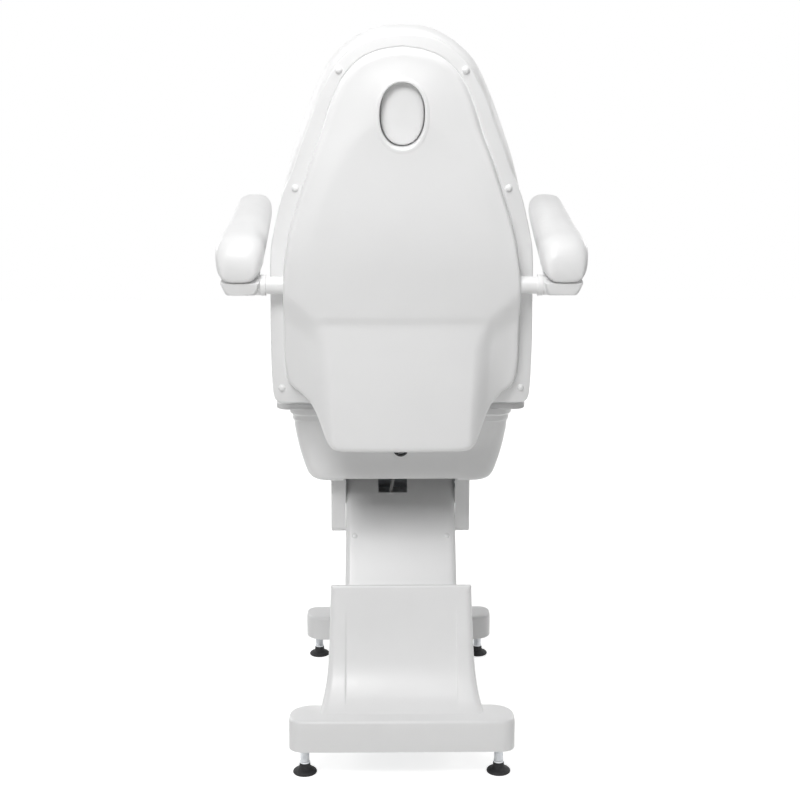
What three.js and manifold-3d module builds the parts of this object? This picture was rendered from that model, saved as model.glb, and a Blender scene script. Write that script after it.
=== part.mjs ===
// Electric pedicure and treatment chair: steel base, parallel lift arm, tilting seat, reclining
// back with a face hole, swing-up armrests and two telescoping leg rests.
// Millimetres. +X is the sitter's right, +Y points from the back to the toes, +Z is up.
// The origin is on the floor, under the middle of the chair's length.

import * as THREE from 'three';
import { mergeVertices } from 'three/addons/utils/BufferGeometryUtils.js';
import Module from 'manifold-3d';

const wasm = await Module();
wasm.setup();

// ---------------------------------------------------------------- driving dimensions

const DEG = Math.PI / 180;
const GAP = 0.3; // clearance between neighbouring pieces
const SKIN = 4; // wall of the moulded covers
const PLATE = 8; // steel side plates and ears
const TUBE_WALL = 3; // wall of the welded square tubes

// Base
const FOOT_X = 222;
const FOOT_Y = 380;
const PAD_RADIUS = 27.5;
const PAD_HEIGHT = 24;
const STEM_RADIUS = 10;
const BAR_LENGTH = 513; // covers of the two cross bars
const BAR_DEPTH = 104;
const BAR_BOTTOM = 71;
const BAR_TOP = 145;
const BAR_ROUND = 12;
const FRONT_DROP = 20; // the front bar sits lower than the rear one
const CROSS_TUBE = 50; // steel cross tubes inside them
const CROSS_TUBE_Z = 85;
const CROSS_TUBE_LENGTH = 470;
const SPINE_TUBE = 40; // the two tubes that join the cross tubes
const SPINE_Z = 77;
const SPINE_X = 70;
const SPINE_COVER_WIDTH = 210;

// Pedestal: the curved rear cover, one moulding with the rear bar's cover
const PEDESTAL_TOP = new THREE.Vector2(-250, 404); // y, z of its top edge
const PEDESTAL_HALF_WIDTH = 164.5;
const PEDESTAL_LEAN = 92; // how far the panel's foot stands behind its top
const PEDESTAL_FLARE_BACK = 55; // concave sweep onto the bar
const PEDESTAL_FLARE_SIDE = 16;
const PEDESTAL_TAPER = 6;
const PEDESTAL_CORNER = 16;
const PEDESTAL_FRONT = 45;
const CREASE_X = 129; // edge of the shallow centre panel
const CREASE_DEPTH = 2.5;

// Lift: main arm and parallel link
const LOWER_PIVOT = new THREE.Vector2(-235, 256); // y, z
const ARM_LENGTH = 420;
const ARM_ANGLE = 55; // above the horizontal, as raised in the rest pose
const LINK_OFFSET = new THREE.Vector2(-26, 33); // the parallel link's pivots, from the arm's
const ARM_PLATE_X = 95;
const PIVOT_PIN_RADIUS = 12;
const LINK_PIN_RADIUS = 8;
const LINK_X = 63;
const NECK_HALF_WIDTH = 130;
const NECK_REAR = 69; // rear face, from the pivots' centre line
const NECK_FRONT = 61;
const NECK_START = 60; // along the arm
const NECK_PAST_PIVOT = 30;
const NECK_CORNER = 12;
const NECK_WALL = 3.5;
const NECK_NOTCH = { left: -54, right: 15, start: 355 };
const CABLE_RADIUS = 4;

// Lift actuator, from the base up to the arm
const LIFT_FOOT = new THREE.Vector2(215, 190); // y, z
const LIFT_LUG = new THREE.Vector2(180, -20); // along and across the arm
const LIFT_LUG_SLOT = 22; // the open pivot's play along the arm
const LIFT_CLOSED = 285;

// From here up, places are given from the upper pivot, so that they follow the arm.
// Carriage on the arm's upper end
const EAR_X = 142; // middle of the plates that hold the pins
const CHEEK_HALF_WIDTH = 165;
const CHEEK_REAR = -101;
const CHEEK_FRONT = 184;
const CHEEK_BOTTOM = -105;
const CHEEK_TOP = 55;
const CHEEK_WALL = 5;
const CHEEK_ROUND = 14;
const BOARD_BOTTOM = 212; // under the seat's board, on which the seat's heights rest
const TILT_PIVOT = new THREE.Vector2(-106, BOARD_BOTTOM - 77); // y, z
const TILT_PIN_RADIUS = 10;
const TILT_FOOT = new THREE.Vector2(106, 0);
const TILT_LUG = new THREE.Vector2(209, BOARD_BOTTOM - 37);
const TILT_X = -70;
const TILT_CLOSED = 195;

// Spindle actuators
const TRUNNION_RADIUS = 6;
const ROD_RADIUS = 10;
const BARREL_RADIUS = 20;
const MOTOR_RADIUS = 17;
const FORK = 6; // plates of the brackets that hold them
const FOOT_FORK_X = 29; // middle of the plates at the foot, from the actuator's axis
const LUG_FORK_X = 17; // and at the rod's eye
const SLOT_PLAY = 2; // between a trunnion and its slotted hole

// Seat
const BOARD_THICK = 12;
const BOARD_HALF_WIDTH = 291;
const BOARD_REAR = -192;
const BOARD_FRONT = 286;
const SEAT_CUSHION_HALF_WIDTH = 286;
const SEAT_CUSHION_REAR = -118;
const SEAT_CUSHION_FRONT = 324;
const SEAT_CUSHION_HEIGHT = 94;
const HULL_LIP_HALF_WIDTH = 261;
const HULL_HALF_WIDTH = 251;
const HULL_BOTTOM = 27;
const HULL_REAR = -194;
const HULL_FRONT = 256;
const SOCKET_RADIUS = 18; // round connector at the back of the hull
const SOCKET_Z = BOARD_BOTTOM - 101;
const RAIL = 30; // square tube rails of the seat frame
const RAIL_X = 165;

// Back, in its own frame: u to the side, s up the back from the hinge, n out of its rear face
const BACK_HINGE = new THREE.Vector2(-221, BOARD_BOTTOM + 23);
const BACK_LEAN = 12;
const BACK_PIN_RADIUS = 9;
const HOLE_S = 672;
const HOLE_HALF_WIDTH = 47;
const HOLE_HALF_HEIGHT = 65;
const HOLE_SIDES = 20; // facets of the plug and of the cushion's hole
const FLANGE_N = 65; // rear face of the shell's flange
const FLANGE_EDGE_N = 50.3; // where its turned-in edge ends
const SHELL_TOP_N = 94; // depth of the raised body, at the top and at the armrests
const SHELL_SIDE_N = 114;
const PLATEAU_HALF_WIDTH = 158;
const PLATEAU_S = 203; // the crease above the tongue
const PLATEAU_SLOPE = 10;
const CUSHION_FRONT_N = -75;
const CUSHION_REAR_N = 49.7;
const BACK_RAIL_X = 127;
const BACK_RAIL = 25;
const LEVER_ANGLE = -130; // the back actuator's lever, from the horizontal
const LEVER_LENGTH = 60;
const LEVER_SLOT = 20;
const LEVER_RADIUS = 12;
const BACK_FOOT = new THREE.Vector2(144, BOARD_BOTTOM - 67);
const BACK_CLOSED = 325;

// Armrests
const ARMREST_S = 308; // swing axis on the back
const ARMREST_N = 86.5;
const ARMREST_TUBE_RADIUS = 19;
const ARMREST_TILT = 13;
const PAD_INNER_X = 297;
const PAD_REAR_WIDTH = 108;
const PAD_FRONT_WIDTH = 68;
const PAD_FRONT_OUT = 13; // how far its inner edge draws out towards the front
const PAD_REAR_Y = -42; // along the pad, from the swing axis
const PAD_FRONT_Y = 366;
const PAD_TOP = 110;
const PAD_BOTTOM = 21;
const PAD_FRONT_BOTTOM = 45;
const HOUSING_BOTTOM = -15;
const HOUSING_INSET = 8; // of the housing's inner face, from the pad's edge

// Leg rests
const LEG_HINGE = new THREE.Vector2(312, BOARD_BOTTOM - 22);
const LEG_DROOP = 17;
const LEG_INNER_X = 12;
const LEG_OUTER_X = 222;
const LEG_LENGTH = 505;
const LEG_CUSHION_START = 45;
const LEG_CUSHION_HEIGHT = 78;
const LEG_TUBE = 24;
const LEG_TUBE_LENGTH = 250;
const LEG_PIN_RADIUS = 9;
const TRAY_THICK = 20;

// ---------------------------------------------------------------- derived places

const alongArm = (s, n) => new THREE.Vector2(
  LOWER_PIVOT.x + s * Math.cos(ARM_ANGLE * DEG) - n * Math.sin(ARM_ANGLE * DEG),
  LOWER_PIVOT.y + s * Math.sin(ARM_ANGLE * DEG) + n * Math.cos(ARM_ANGLE * DEG));
const UPPER_PIVOT = alongArm(ARM_LENGTH, 0);
const LOWER_LINK = LOWER_PIVOT.clone().add(LINK_OFFSET);
// The frame that the carriage, seat and back are drawn in: at the upper pivot, to the nearest
// millimetre.
const HEAD = new THREE.Vector2(Math.round(UPPER_PIVOT.x), Math.round(UPPER_PIVOT.y));
const CUSHION_BASE = BOARD_BOTTOM + BOARD_THICK + GAP;
const RAIL_TOP = BOARD_BOTTOM - GAP;
const TRAY_BOTTOM = LEG_TUBE / 2 + 1;

// ---------------------------------------------------------------- materials

const finish = (color, roughness, metalness = 0) =>
  new THREE.MeshStandardMaterial({ color, roughness, metalness });
const MATERIAL = {
  shell: finish(0xf1f1f0, 0.32),
  upholstery: finish(0xf4f4f2, 0.55),
  rubber: finish(0x222224, 0.8),
  steel: finish(0xc9cbce, 0.35, 1),
  frame: finish(0xb9bcc0, 0.5, 0.3),
  dark: finish(0x2b2c2e, 0.6),
  board: finish(0xe9e9e6, 0.5),
  cable: finish(0xd8d8d6, 0.5),
};

// ---------------------------------------------------------------- geometry tools

// Turns a closed surface so that its faces point out.
function outward(geometry) {
  const p = geometry.attributes.position.array;
  const index = geometry.index.array;
  let volume = 0;
  for (let i = 0; i < index.length; i += 3) {
    const [a, b, c] = [index[i] * 3, index[i + 1] * 3, index[i + 2] * 3];
    volume += p[a] * (p[b + 1] * p[c + 2] - p[b + 2] * p[c + 1])
      + p[a + 1] * (p[b + 2] * p[c] - p[b] * p[c + 2])
      + p[a + 2] * (p[b] * p[c + 1] - p[b + 1] * p[c]);
  }
  if (volume < 0) geometry.index.array.reverse();
  return geometry;
}

// Skin over a run of rings with equally many points. The two ends are fanned to their middles,
// or the last ring joins the first one where the run is closed.
function loft(rings, closed = false) {
  const count = rings[0].length;
  const points = rings.flat();
  const faces = [];
  const runs = closed ? rings.length : rings.length - 1;
  for (let ring = 0; ring < runs; ring++) {
    const next = (ring + 1) % rings.length;
    for (let i = 0; i < count; i++) {
      const j = (i + 1) % count;
      const [a, b] = [ring * count + i, ring * count + j];
      const [c, d] = [next * count + j, next * count + i];
      faces.push(a, b, c, a, c, d);
    }
  }
  if (!closed) {
    for (const ring of [0, rings.length - 1]) {
      const middle = new THREE.Vector3();
      rings[ring].forEach((point) => middle.addScaledVector(point, 1 / count));
      const centre = points.push(middle) - 1;
      for (let i = 0; i < count; i++) {
        const [a, b] = [ring * count + i, ring * count + (i + 1) % count];
        faces.push(centre, ring === 0 ? b : a, ring === 0 ? a : b);
      }
    }
  }
  const geometry = new THREE.BufferGeometry().setFromPoints(points);
  geometry.setIndex(new THREE.BufferAttribute(new Uint32Array(faces), 1));
  return outward(geometry);
}

// A closed surface becomes a solid that can be joined and cut.
function solid(geometry) {
  const bare = geometry.clone();
  bare.deleteAttribute('normal');
  bare.deleteAttribute('uv');
  const merged = mergeVertices(bare, 1e-4);
  return new wasm.Manifold(new wasm.Mesh({
    numProp: 3,
    vertProperties: new Float32Array(merged.attributes.position.array),
    triVerts: new Uint32Array(merged.index.array),
  }));
}

function surface(shape) {
  const { vertProperties, triVerts } = shape.getMesh();
  const geometry = new THREE.BufferGeometry();
  geometry.setAttribute('position', new THREE.BufferAttribute(new Float32Array(vertProperties), 3));
  geometry.setIndex(new THREE.BufferAttribute(new Uint32Array(triVerts), 1));
  geometry.computeVertexNormals();
  return geometry;
}

const join = (...shapes) => shapes.reduce((whole, shape) => whole.add(shape));
const cut = (whole, ...shapes) => shapes.reduce((rest, shape) => rest.subtract(shape), whole);

function box(x, y, z) {
  const geometry = new THREE.BoxGeometry(x[1] - x[0], y[1] - y[0], z[1] - z[0]);
  geometry.translate((x[0] + x[1]) / 2, (y[0] + y[1]) / 2, (z[0] + z[1]) / 2);
  return solid(geometry);
}

// Round bar along X.
function barX(radius, x, y, z, sides = 12) {
  const geometry = new THREE.CylinderGeometry(radius, radius, x[1] - x[0], sides);
  geometry.rotateZ(-Math.PI / 2);
  geometry.translate((x[0] + x[1]) / 2, y, z);
  return solid(geometry);
}

// Hole along X for a bar of the given radius, whose flats stay clear of the bar as it turns.
const boreX = (radius, x, y, z, sides = 12) =>
  barX((radius + GAP) / Math.cos(Math.PI / sides), x, y, z, sides);

// Round bar along Y.
function barY(radius, x, y, z, sides = 12) {
  const geometry = new THREE.CylinderGeometry(radius, radius, y[1] - y[0], sides);
  geometry.translate(x, (y[0] + y[1]) / 2, z);
  return solid(geometry);
}

// Round bar along Z.
function barZ(radius, x, y, z, sides = 12) {
  const geometry = new THREE.CylinderGeometry(radius, radius, z[1] - z[0], sides);
  geometry.rotateX(Math.PI / 2);
  geometry.translate(x, y, (z[0] + z[1]) / 2);
  return solid(geometry);
}

// A side profile, drawn in y and z, carried across from one x to the other.
function slab(shape, x) {
  const geometry = new THREE.ExtrudeGeometry(shape, {
    depth: x[1] - x[0], bevelEnabled: false, curveSegments: 4,
  });
  geometry.applyMatrix4(new THREE.Matrix4().makeBasis(
    new THREE.Vector3(0, 1, 0), new THREE.Vector3(0, 0, 1), new THREE.Vector3(1, 0, 0)));
  geometry.translate(x[0], 0, 0);
  return solid(geometry);
}

// A cross section, drawn in x and z, carried along from one y to the other.
function beam(shape, y) {
  const geometry = new THREE.ExtrudeGeometry(shape, {
    depth: y[1] - y[0], bevelEnabled: false, curveSegments: 4,
  });
  geometry.applyMatrix4(new THREE.Matrix4().makeBasis(
    new THREE.Vector3(1, 0, 0), new THREE.Vector3(0, 0, 1), new THREE.Vector3(0, -1, 0)));
  geometry.translate(0, y[1], 0);
  return solid(geometry);
}

const polygon = (points) => new THREE.Shape(points.map(([y, z]) => new THREE.Vector2(y, z)));

function roundedRect(x, z, radius) {
  const shape = new THREE.Shape();
  shape.moveTo(x[0] + radius, z[0]);
  shape.lineTo(x[1] - radius, z[0]);
  shape.absarc(x[1] - radius, z[0] + radius, radius, -Math.PI / 2, 0);
  shape.lineTo(x[1], z[1] - radius);
  shape.absarc(x[1] - radius, z[1] - radius, radius, 0, Math.PI / 2);
  shape.lineTo(x[0] + radius, z[1]);
  shape.absarc(x[0] + radius, z[1] - radius, radius, Math.PI / 2, Math.PI);
  shape.lineTo(x[0], z[0] + radius);
  shape.absarc(x[0] + radius, z[0] + radius, radius, Math.PI, 1.5 * Math.PI);
  return shape;
}

// Flat bar with round ends around two centres.
function capsule(start, end, radius) {
  const along = end.clone().sub(start).angle();
  const shape = new THREE.Shape();
  shape.absarc(end.x, end.y, radius, along - Math.PI / 2, along + Math.PI / 2);
  shape.absarc(start.x, start.y, radius, along + Math.PI / 2, along + 1.5 * Math.PI);
  return shape;
}

// Level ring with round corners, seen from above.
function ring(z, x, y, radius, steps = 4) {
  const points = [];
  const corners = [[x[1], y[0], -90], [x[1], y[1], 0], [x[0], y[1], 90], [x[0], y[0], 180]];
  for (const [cx, cy, start] of corners) {
    const mx = cx - Math.sign(cx - (x[0] + x[1]) / 2) * radius;
    const my = cy - Math.sign(cy - (y[0] + y[1]) / 2) * radius;
    for (let i = 0; i <= steps; i++) {
      const angle = (start + 90 * i / steps) * DEG;
      points.push(new THREE.Vector3(mx + radius * Math.cos(angle), my + radius * Math.sin(angle), z));
    }
  }
  return points;
}

// Both plates of a pair that stand left and right of a middle.
const pair = (x, thick = PLATE, middle = 0) =>
  [-1, 1].map((side) => [middle + side * x - thick / 2, middle + side * x + thick / 2]);

const smooth = (t) => {
  const u = Math.min(1, Math.max(0, t));
  return u * u * (3 - 2 * u);
};

// Welded frame of square tubes: all the outsides joined, then all the insides cut, so that the
// tubes open into each other and at their free ends.
function tubeFrame(tubes, wall, plates = []) {
  const outside = join(...tubes.map(({ x, y, z }) => box(x, y, z)), ...plates);
  const shrink = (range, along) => (along ? range : [range[0] + wall, range[1] - wall]);
  const insides = tubes.map(({ x, y, z, axis }) =>
    box(shrink(x, axis === 'x'), shrink(y, axis === 'y'), shrink(z, axis === 'z')));
  return cut(outside, ...insides);
}

const chair = new THREE.Group();
const head = new THREE.Group();
head.position.set(0, HEAD.x, HEAD.y);
chair.add(head);

function add(parent, name, shape, material) {
  const mesh = new THREE.Mesh(shape.isBufferGeometry ? shape : surface(shape), material);
  mesh.name = name;
  parent.add(mesh);
  return mesh;
}

// ---------------------------------------------------------------- base

function addFeet() {
  for (const [end, y, drop] of [['rear', -FOOT_Y, 0], ['front', FOOT_Y, FRONT_DROP]]) {
    for (const [side, x] of [['left', -FOOT_X], ['right', FOOT_X]]) {
      const foot = new THREE.Group();
      foot.position.set(x, y, 0);
      chair.add(foot);
      const profile = [[0, 0], [PAD_RADIUS, 0], [PAD_RADIUS, 7], [PAD_RADIUS - 3, 11],
        [STEM_RADIUS + 5, 15], [STEM_RADIUS + 3.5, PAD_HEIGHT], [0, PAD_HEIGHT]];
      const pad = new THREE.LatheGeometry(profile.map(([r, z]) => new THREE.Vector2(r, z)), 16);
      pad.rotateX(Math.PI / 2);
      add(foot, `foot_pad_${end}_${side}`, solid(pad), MATERIAL.rubber);
      const under = CROSS_TUBE_Z - drop;
      const nut = [under - GAP - 9, under - GAP];
      add(foot, `foot_stem_${end}_${side}`, join(
        barZ(STEM_RADIUS, 0, 0, [PAD_HEIGHT + GAP, under + CROSS_TUBE - TUBE_WALL - 8]),
        barZ(STEM_RADIUS + 3, 0, 0, [PAD_HEIGHT + GAP, PAD_HEIGHT + GAP + 4]),
        barZ(STEM_RADIUS * 1.7, 0, 0, nut, 6)), MATERIAL.steel);
    }
  }
}

function addBaseFrame() {
  const half = CROSS_TUBE / 2;
  const tubeZ = (drop) => [CROSS_TUBE_Z - drop, CROSS_TUBE_Z - drop + CROSS_TUBE];
  const spineZ = [SPINE_Z, SPINE_Z + SPINE_TUBE];
  const spineX = (side) => [side * SPINE_X - SPINE_TUBE / 2, side * SPINE_X + SPINE_TUBE / 2];
  const across = [-CROSS_TUBE_LENGTH / 2, CROSS_TUBE_LENGTH / 2];
  const earIn = EAR_X - PLATE / 2;
  const tubes = [
    { x: across, y: [-FOOT_Y - half, -FOOT_Y + half], z: tubeZ(0), axis: 'x' },
    { x: across, y: [FOOT_Y - half, FOOT_Y + half], z: tubeZ(FRONT_DROP), axis: 'x' },
    { x: spineX(-1), y: [-FOOT_Y, FOOT_Y], z: spineZ, axis: 'y' },
    { x: spineX(1), y: [-FOOT_Y, FOOT_Y], z: spineZ, axis: 'y' },
    { x: [-earIn, earIn], y: [LOWER_PIVOT.x - 25, LOWER_PIVOT.x + 25], z: spineZ, axis: 'x' },
  ];
  const [p, q] = [LOWER_PIVOT, LOWER_LINK];
  const ear = polygon([[p.x - 60, spineZ[0]], [p.x + 55, spineZ[0]], [p.x + 28, p.y],
    [q.x + 34, q.y + 10], [q.x + 12, q.y + 20], [q.x - 14, q.y + 14], [q.x - 24, q.y - 10]]);
  const lugFoot = LIFT_FOOT.x;
  const bed = box([-SPINE_X - SPINE_TUBE / 2, SPINE_X + SPINE_TUBE / 2],
    [lugFoot - 25, lugFoot + 25], [spineZ[1], spineZ[1] + 4]);
  const lug = polygon([[lugFoot - 20, spineZ[1]], [lugFoot + 20, spineZ[1]],
    [lugFoot + 13, LIFT_FOOT.y + 8], [lugFoot + 6, LIFT_FOOT.y + 14],
    [lugFoot - 6, LIFT_FOOT.y + 14], [lugFoot - 13, LIFT_FOOT.y + 8]]);
  const plates = [...pair(EAR_X).map((x) => slab(ear, x)), bed,
    ...pair(FOOT_FORK_X, FORK).map((x) => slab(lug, x))];
  let frame = tubeFrame(tubes, TUBE_WALL, plates);
  const whole = [-EAR_X - PLATE, EAR_X + PLATE];
  frame = cut(frame,
    boreX(PIVOT_PIN_RADIUS, whole, p.x, p.y),
    boreX(LINK_PIN_RADIUS, whole, q.x, q.y),
    boreX(TRUNNION_RADIUS, [-40, 40], LIFT_FOOT.x, LIFT_FOOT.y));
  for (const x of [-FOOT_X, FOOT_X]) {
    for (const [y, drop] of [[-FOOT_Y, 0], [FOOT_Y, FRONT_DROP]]) {
      frame = cut(frame, barZ(STEM_RADIUS + 1.5, x, y, [CROSS_TUBE_Z - drop - 5, CROSS_TUBE_Z - drop + 10]));
    }
  }
  add(chair, 'base_frame', frame, MATERIAL.frame);
  const pinX = [-EAR_X - PLATE, EAR_X + PLATE];
  add(chair, 'lower_pivot_pin', barX(PIVOT_PIN_RADIUS, pinX, p.x, p.y), MATERIAL.steel);
  add(chair, 'link_pin_lower', barX(LINK_PIN_RADIUS, pinX, q.x, q.y), MATERIAL.steel);
}

// Cover of a cross bar: straight sides, a rounded shoulder and a slightly crowned top.
function barCover(y, drop, inset) {
  const half = { x: BAR_LENGTH / 2 - inset, y: BAR_DEPTH / 2 - inset };
  const round = BAR_ROUND - inset / 2;
  const at = (z, back) => ring(z, [-half.x + back, half.x - back],
    [y - half.y + back, y + half.y - back], 24 - inset / 2 - back * 0.8);
  const top = BAR_TOP - drop - inset;
  const rings = [at(BAR_BOTTOM - drop - (inset ? 10 : 0), 0)];
  for (let step = 0; step <= 3; step++) {
    const angle = step * 30 * DEG;
    rings.push(at(top - round * (1 - Math.sin(angle)), round * (1 - Math.cos(angle))));
  }
  rings.push(at(top + 1.5, 26));
  return solid(loft(rings));
}

// Posts under a cover's roof that rest on the steel tube.
function barPosts(y, drop) {
  const posts = [-1, 1].map((side) => barZ(7, side * BAR_LENGTH * 0.3, y,
    [CROSS_TUBE_Z - drop + CROSS_TUBE + GAP, BAR_TOP - drop - SKIN / 2]));
  return join(...posts);
}

// Level ring of the pedestal. Its rear edge leans back and flares onto the bar, and holds the
// two creases of the shallow centre panel, which fade out towards the top.
function pedestalRing(z, inset) {
  const height = PEDESTAL_TOP.y - BAR_TOP;
  const u = Math.min(1, Math.max(0, (PEDESTAL_TOP.y - z) / height));
  const flare = u ** 6;
  const side = PEDESTAL_HALF_WIDTH + PEDESTAL_TAPER * u - inset;
  const rearSide = side + PEDESTAL_FLARE_SIDE * flare;
  const rear = PEDESTAL_TOP.x - PEDESTAL_LEAN * u - PEDESTAL_FLARE_BACK * flare + inset;
  const depth = inset ? 0 : CREASE_DEPTH * smooth((u - 0.12) / 0.4);
  const radius = PEDESTAL_CORNER - inset;
  const front = PEDESTAL_FRONT - inset;
  const points = [new THREE.Vector3(side, front, z), new THREE.Vector3(-side, front, z)];
  for (let i = 0; i <= 4; i++) {
    const angle = (180 + 22.5 * i) * DEG;
    points.push(new THREE.Vector3(-rearSide + radius + radius * Math.cos(angle),
      rear + radius + radius * Math.sin(angle), z));
  }
  for (const [x, sink] of [[-CREASE_X - 5, 0], [-CREASE_X, depth], [CREASE_X, depth], [CREASE_X + 5, 0]]) {
    points.push(new THREE.Vector3(x, rear + sink, z));
  }
  for (let i = 0; i <= 4; i++) {
    const angle = (270 + 22.5 * i) * DEG;
    points.push(new THREE.Vector3(rearSide - radius + radius * Math.cos(angle),
      rear + radius + radius * Math.sin(angle), z));
  }
  return points;
}

function pedestalSolid(inset) {
  const levels = inset ? [BAR_BOTTOM - 10] : [BAR_BOTTOM];
  for (let step = 0; step <= 8; step++) {
    levels.push(PEDESTAL_TOP.y - (PEDESTAL_TOP.y - BAR_TOP) * (1 - (step / 8) ** 1.5));
  }
  if (inset) levels.push(PEDESTAL_TOP.y + 10);
  return solid(loft(levels.map((z) => pedestalRing(z, inset))));
}

function addBaseCovers() {
  const top = PEDESTAL_TOP;
  const bedTop = SPINE_Z + SPINE_TUBE + 4 + GAP;
  const spineTop = bedTop + SKIN;
  // What lies above the pedestal's swept roof, which falls from its top edge to the spine cover.
  const above = (drop) => polygon([[top.x - 10, top.y + 30], [top.x - 10, top.y + 20],
    [top.x + 8, top.y - drop], [top.x + 16, top.y - 4 - drop], [top.x + 50, top.y - 46 - drop],
    [top.x + 95, top.y - 104 - drop], [top.x + 150, top.y - 162 - drop],
    [top.x + 210, top.y - 208 - drop], [PEDESTAL_FRONT - 20, spineTop + 18 - drop],
    [PEDESTAL_FRONT + 1, spineTop - drop], [PEDESTAL_FRONT + 30, spineTop - drop],
    [PEDESTAL_FRONT + 30, top.y + 30]]);
  const reach = [-PEDESTAL_HALF_WIDTH * 2, PEDESTAL_HALF_WIDTH * 2];
  const spineSlot = box([-SPINE_COVER_WIDTH / 2, SPINE_COVER_WIDTH / 2],
    [PEDESTAL_FRONT - 20, PEDESTAL_FRONT + 20], [BAR_BOTTOM - 10, spineTop]);
  const way = NECK_HALF_WIDTH + 6;
  const armWay = box([-way, way], [top.x + SKIN, LOWER_PIVOT.x + 175], [LOWER_PIVOT.y - 50, top.y + 20]);
  const pedestal = cut(pedestalSolid(0), slab(above(0), reach));
  const hollow = cut(pedestalSolid(SKIN), slab(above(SKIN), reach));
  const cover = cut(join(barCover(-FOOT_Y, 0, 0), pedestal), barCover(-FOOT_Y, 0, SKIN), hollow,
    armWay, spineSlot);
  add(chair, 'base_cover', join(cover, cut(barPosts(-FOOT_Y, 0), pedestalSolid(SKIN))),
    MATERIAL.shell);

  const front = cut(barCover(FOOT_Y, FRONT_DROP, 0), barCover(FOOT_Y, FRONT_DROP, SKIN));
  const mouth = box([-SPINE_COVER_WIDTH / 2 + SKIN, SPINE_COVER_WIDTH / 2 - SKIN],
    [FOOT_Y - BAR_DEPTH, FOOT_Y - 20], [0, SPINE_Z + SPINE_TUBE + GAP]);
  add(chair, 'front_foot_cover', cut(join(front, barPosts(FOOT_Y, FRONT_DROP)), mouth),
    MATERIAL.shell);

  const width = SPINE_COVER_WIDTH / 2;
  const length = [PEDESTAL_FRONT + GAP, FOOT_Y - BAR_DEPTH / 2 - GAP];
  const spine = cut(
    beam(roundedRect([-width, width], [BAR_BOTTOM, spineTop], 10), length),
    box([-width + SKIN, width - SKIN], [length[0] - 1, length[1] + 1], [BAR_BOTTOM - 5, bedTop]),
    box([-36, 36], [LIFT_FOOT.x - 26, LIFT_FOOT.x + 26], [bedTop - 1, spineTop + 1]));
  add(chair, 'spine_cover', spine, MATERIAL.shell);
}

// ---------------------------------------------------------------- actuators

// Spindle actuator between two pivots: barrel with its motor beside it, and a rod with an eye.
// It lies along its group's +Y from the foot pivot.
function addActuator(parent, name, foot, lug, closed, x, motorSide) {
  const group = new THREE.Group();
  const reach = lug.clone().sub(foot);
  group.position.set(x, foot.x, foot.y);
  group.rotation.x = reach.angle();
  parent.add(group);
  const length = reach.length();
  const barrelEnd = closed - 30;
  const motorX = motorSide * (BARREL_RADIUS + MOTOR_RADIUS + 5);
  const eye = LUG_FORK_X - FORK / 2 - 4;
  const shoulder = FOOT_FORK_X - FORK / 2 - GAP;
  const body = join(
    barX(14, [-shoulder, shoulder], 0, 0),
    barX(TRUNNION_RADIUS, [-FOOT_FORK_X - 5, FOOT_FORK_X + 5], 0, 0),
    barY(BARREL_RADIUS, 0, [10, barrelEnd], 0, 16),
    box([Math.min(-BARREL_RADIUS, motorX - MOTOR_RADIUS), Math.max(BARREL_RADIUS, motorX + MOTOR_RADIUS)],
      [22, 48], [-BARREL_RADIUS, BARREL_RADIUS]),
    barY(MOTOR_RADIUS, motorX, [40, 130], 0));
  add(group, `${name}_body`, cut(body, barY(ROD_RADIUS + GAP, 0, [34, barrelEnd + 1], 0)),
    MATERIAL.dark);
  const rodStart = length - closed + 40;
  add(group, `${name}_rod`, join(
    barY(ROD_RADIUS, 0, [rodStart, length - 4], 0),
    barX(12, [-eye, eye], length, 0),
    barX(TRUNNION_RADIUS, [-LUG_FORK_X - 7, LUG_FORK_X + 7], length, 0)), MATERIAL.steel);
  return group;
}

// ---------------------------------------------------------------- lift arm

function slotHole(radius, play, x, y, z) {
  return slab(capsule(new THREE.Vector2(y - play / 2, z), new THREE.Vector2(y + play / 2, z), radius), x);
}

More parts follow.
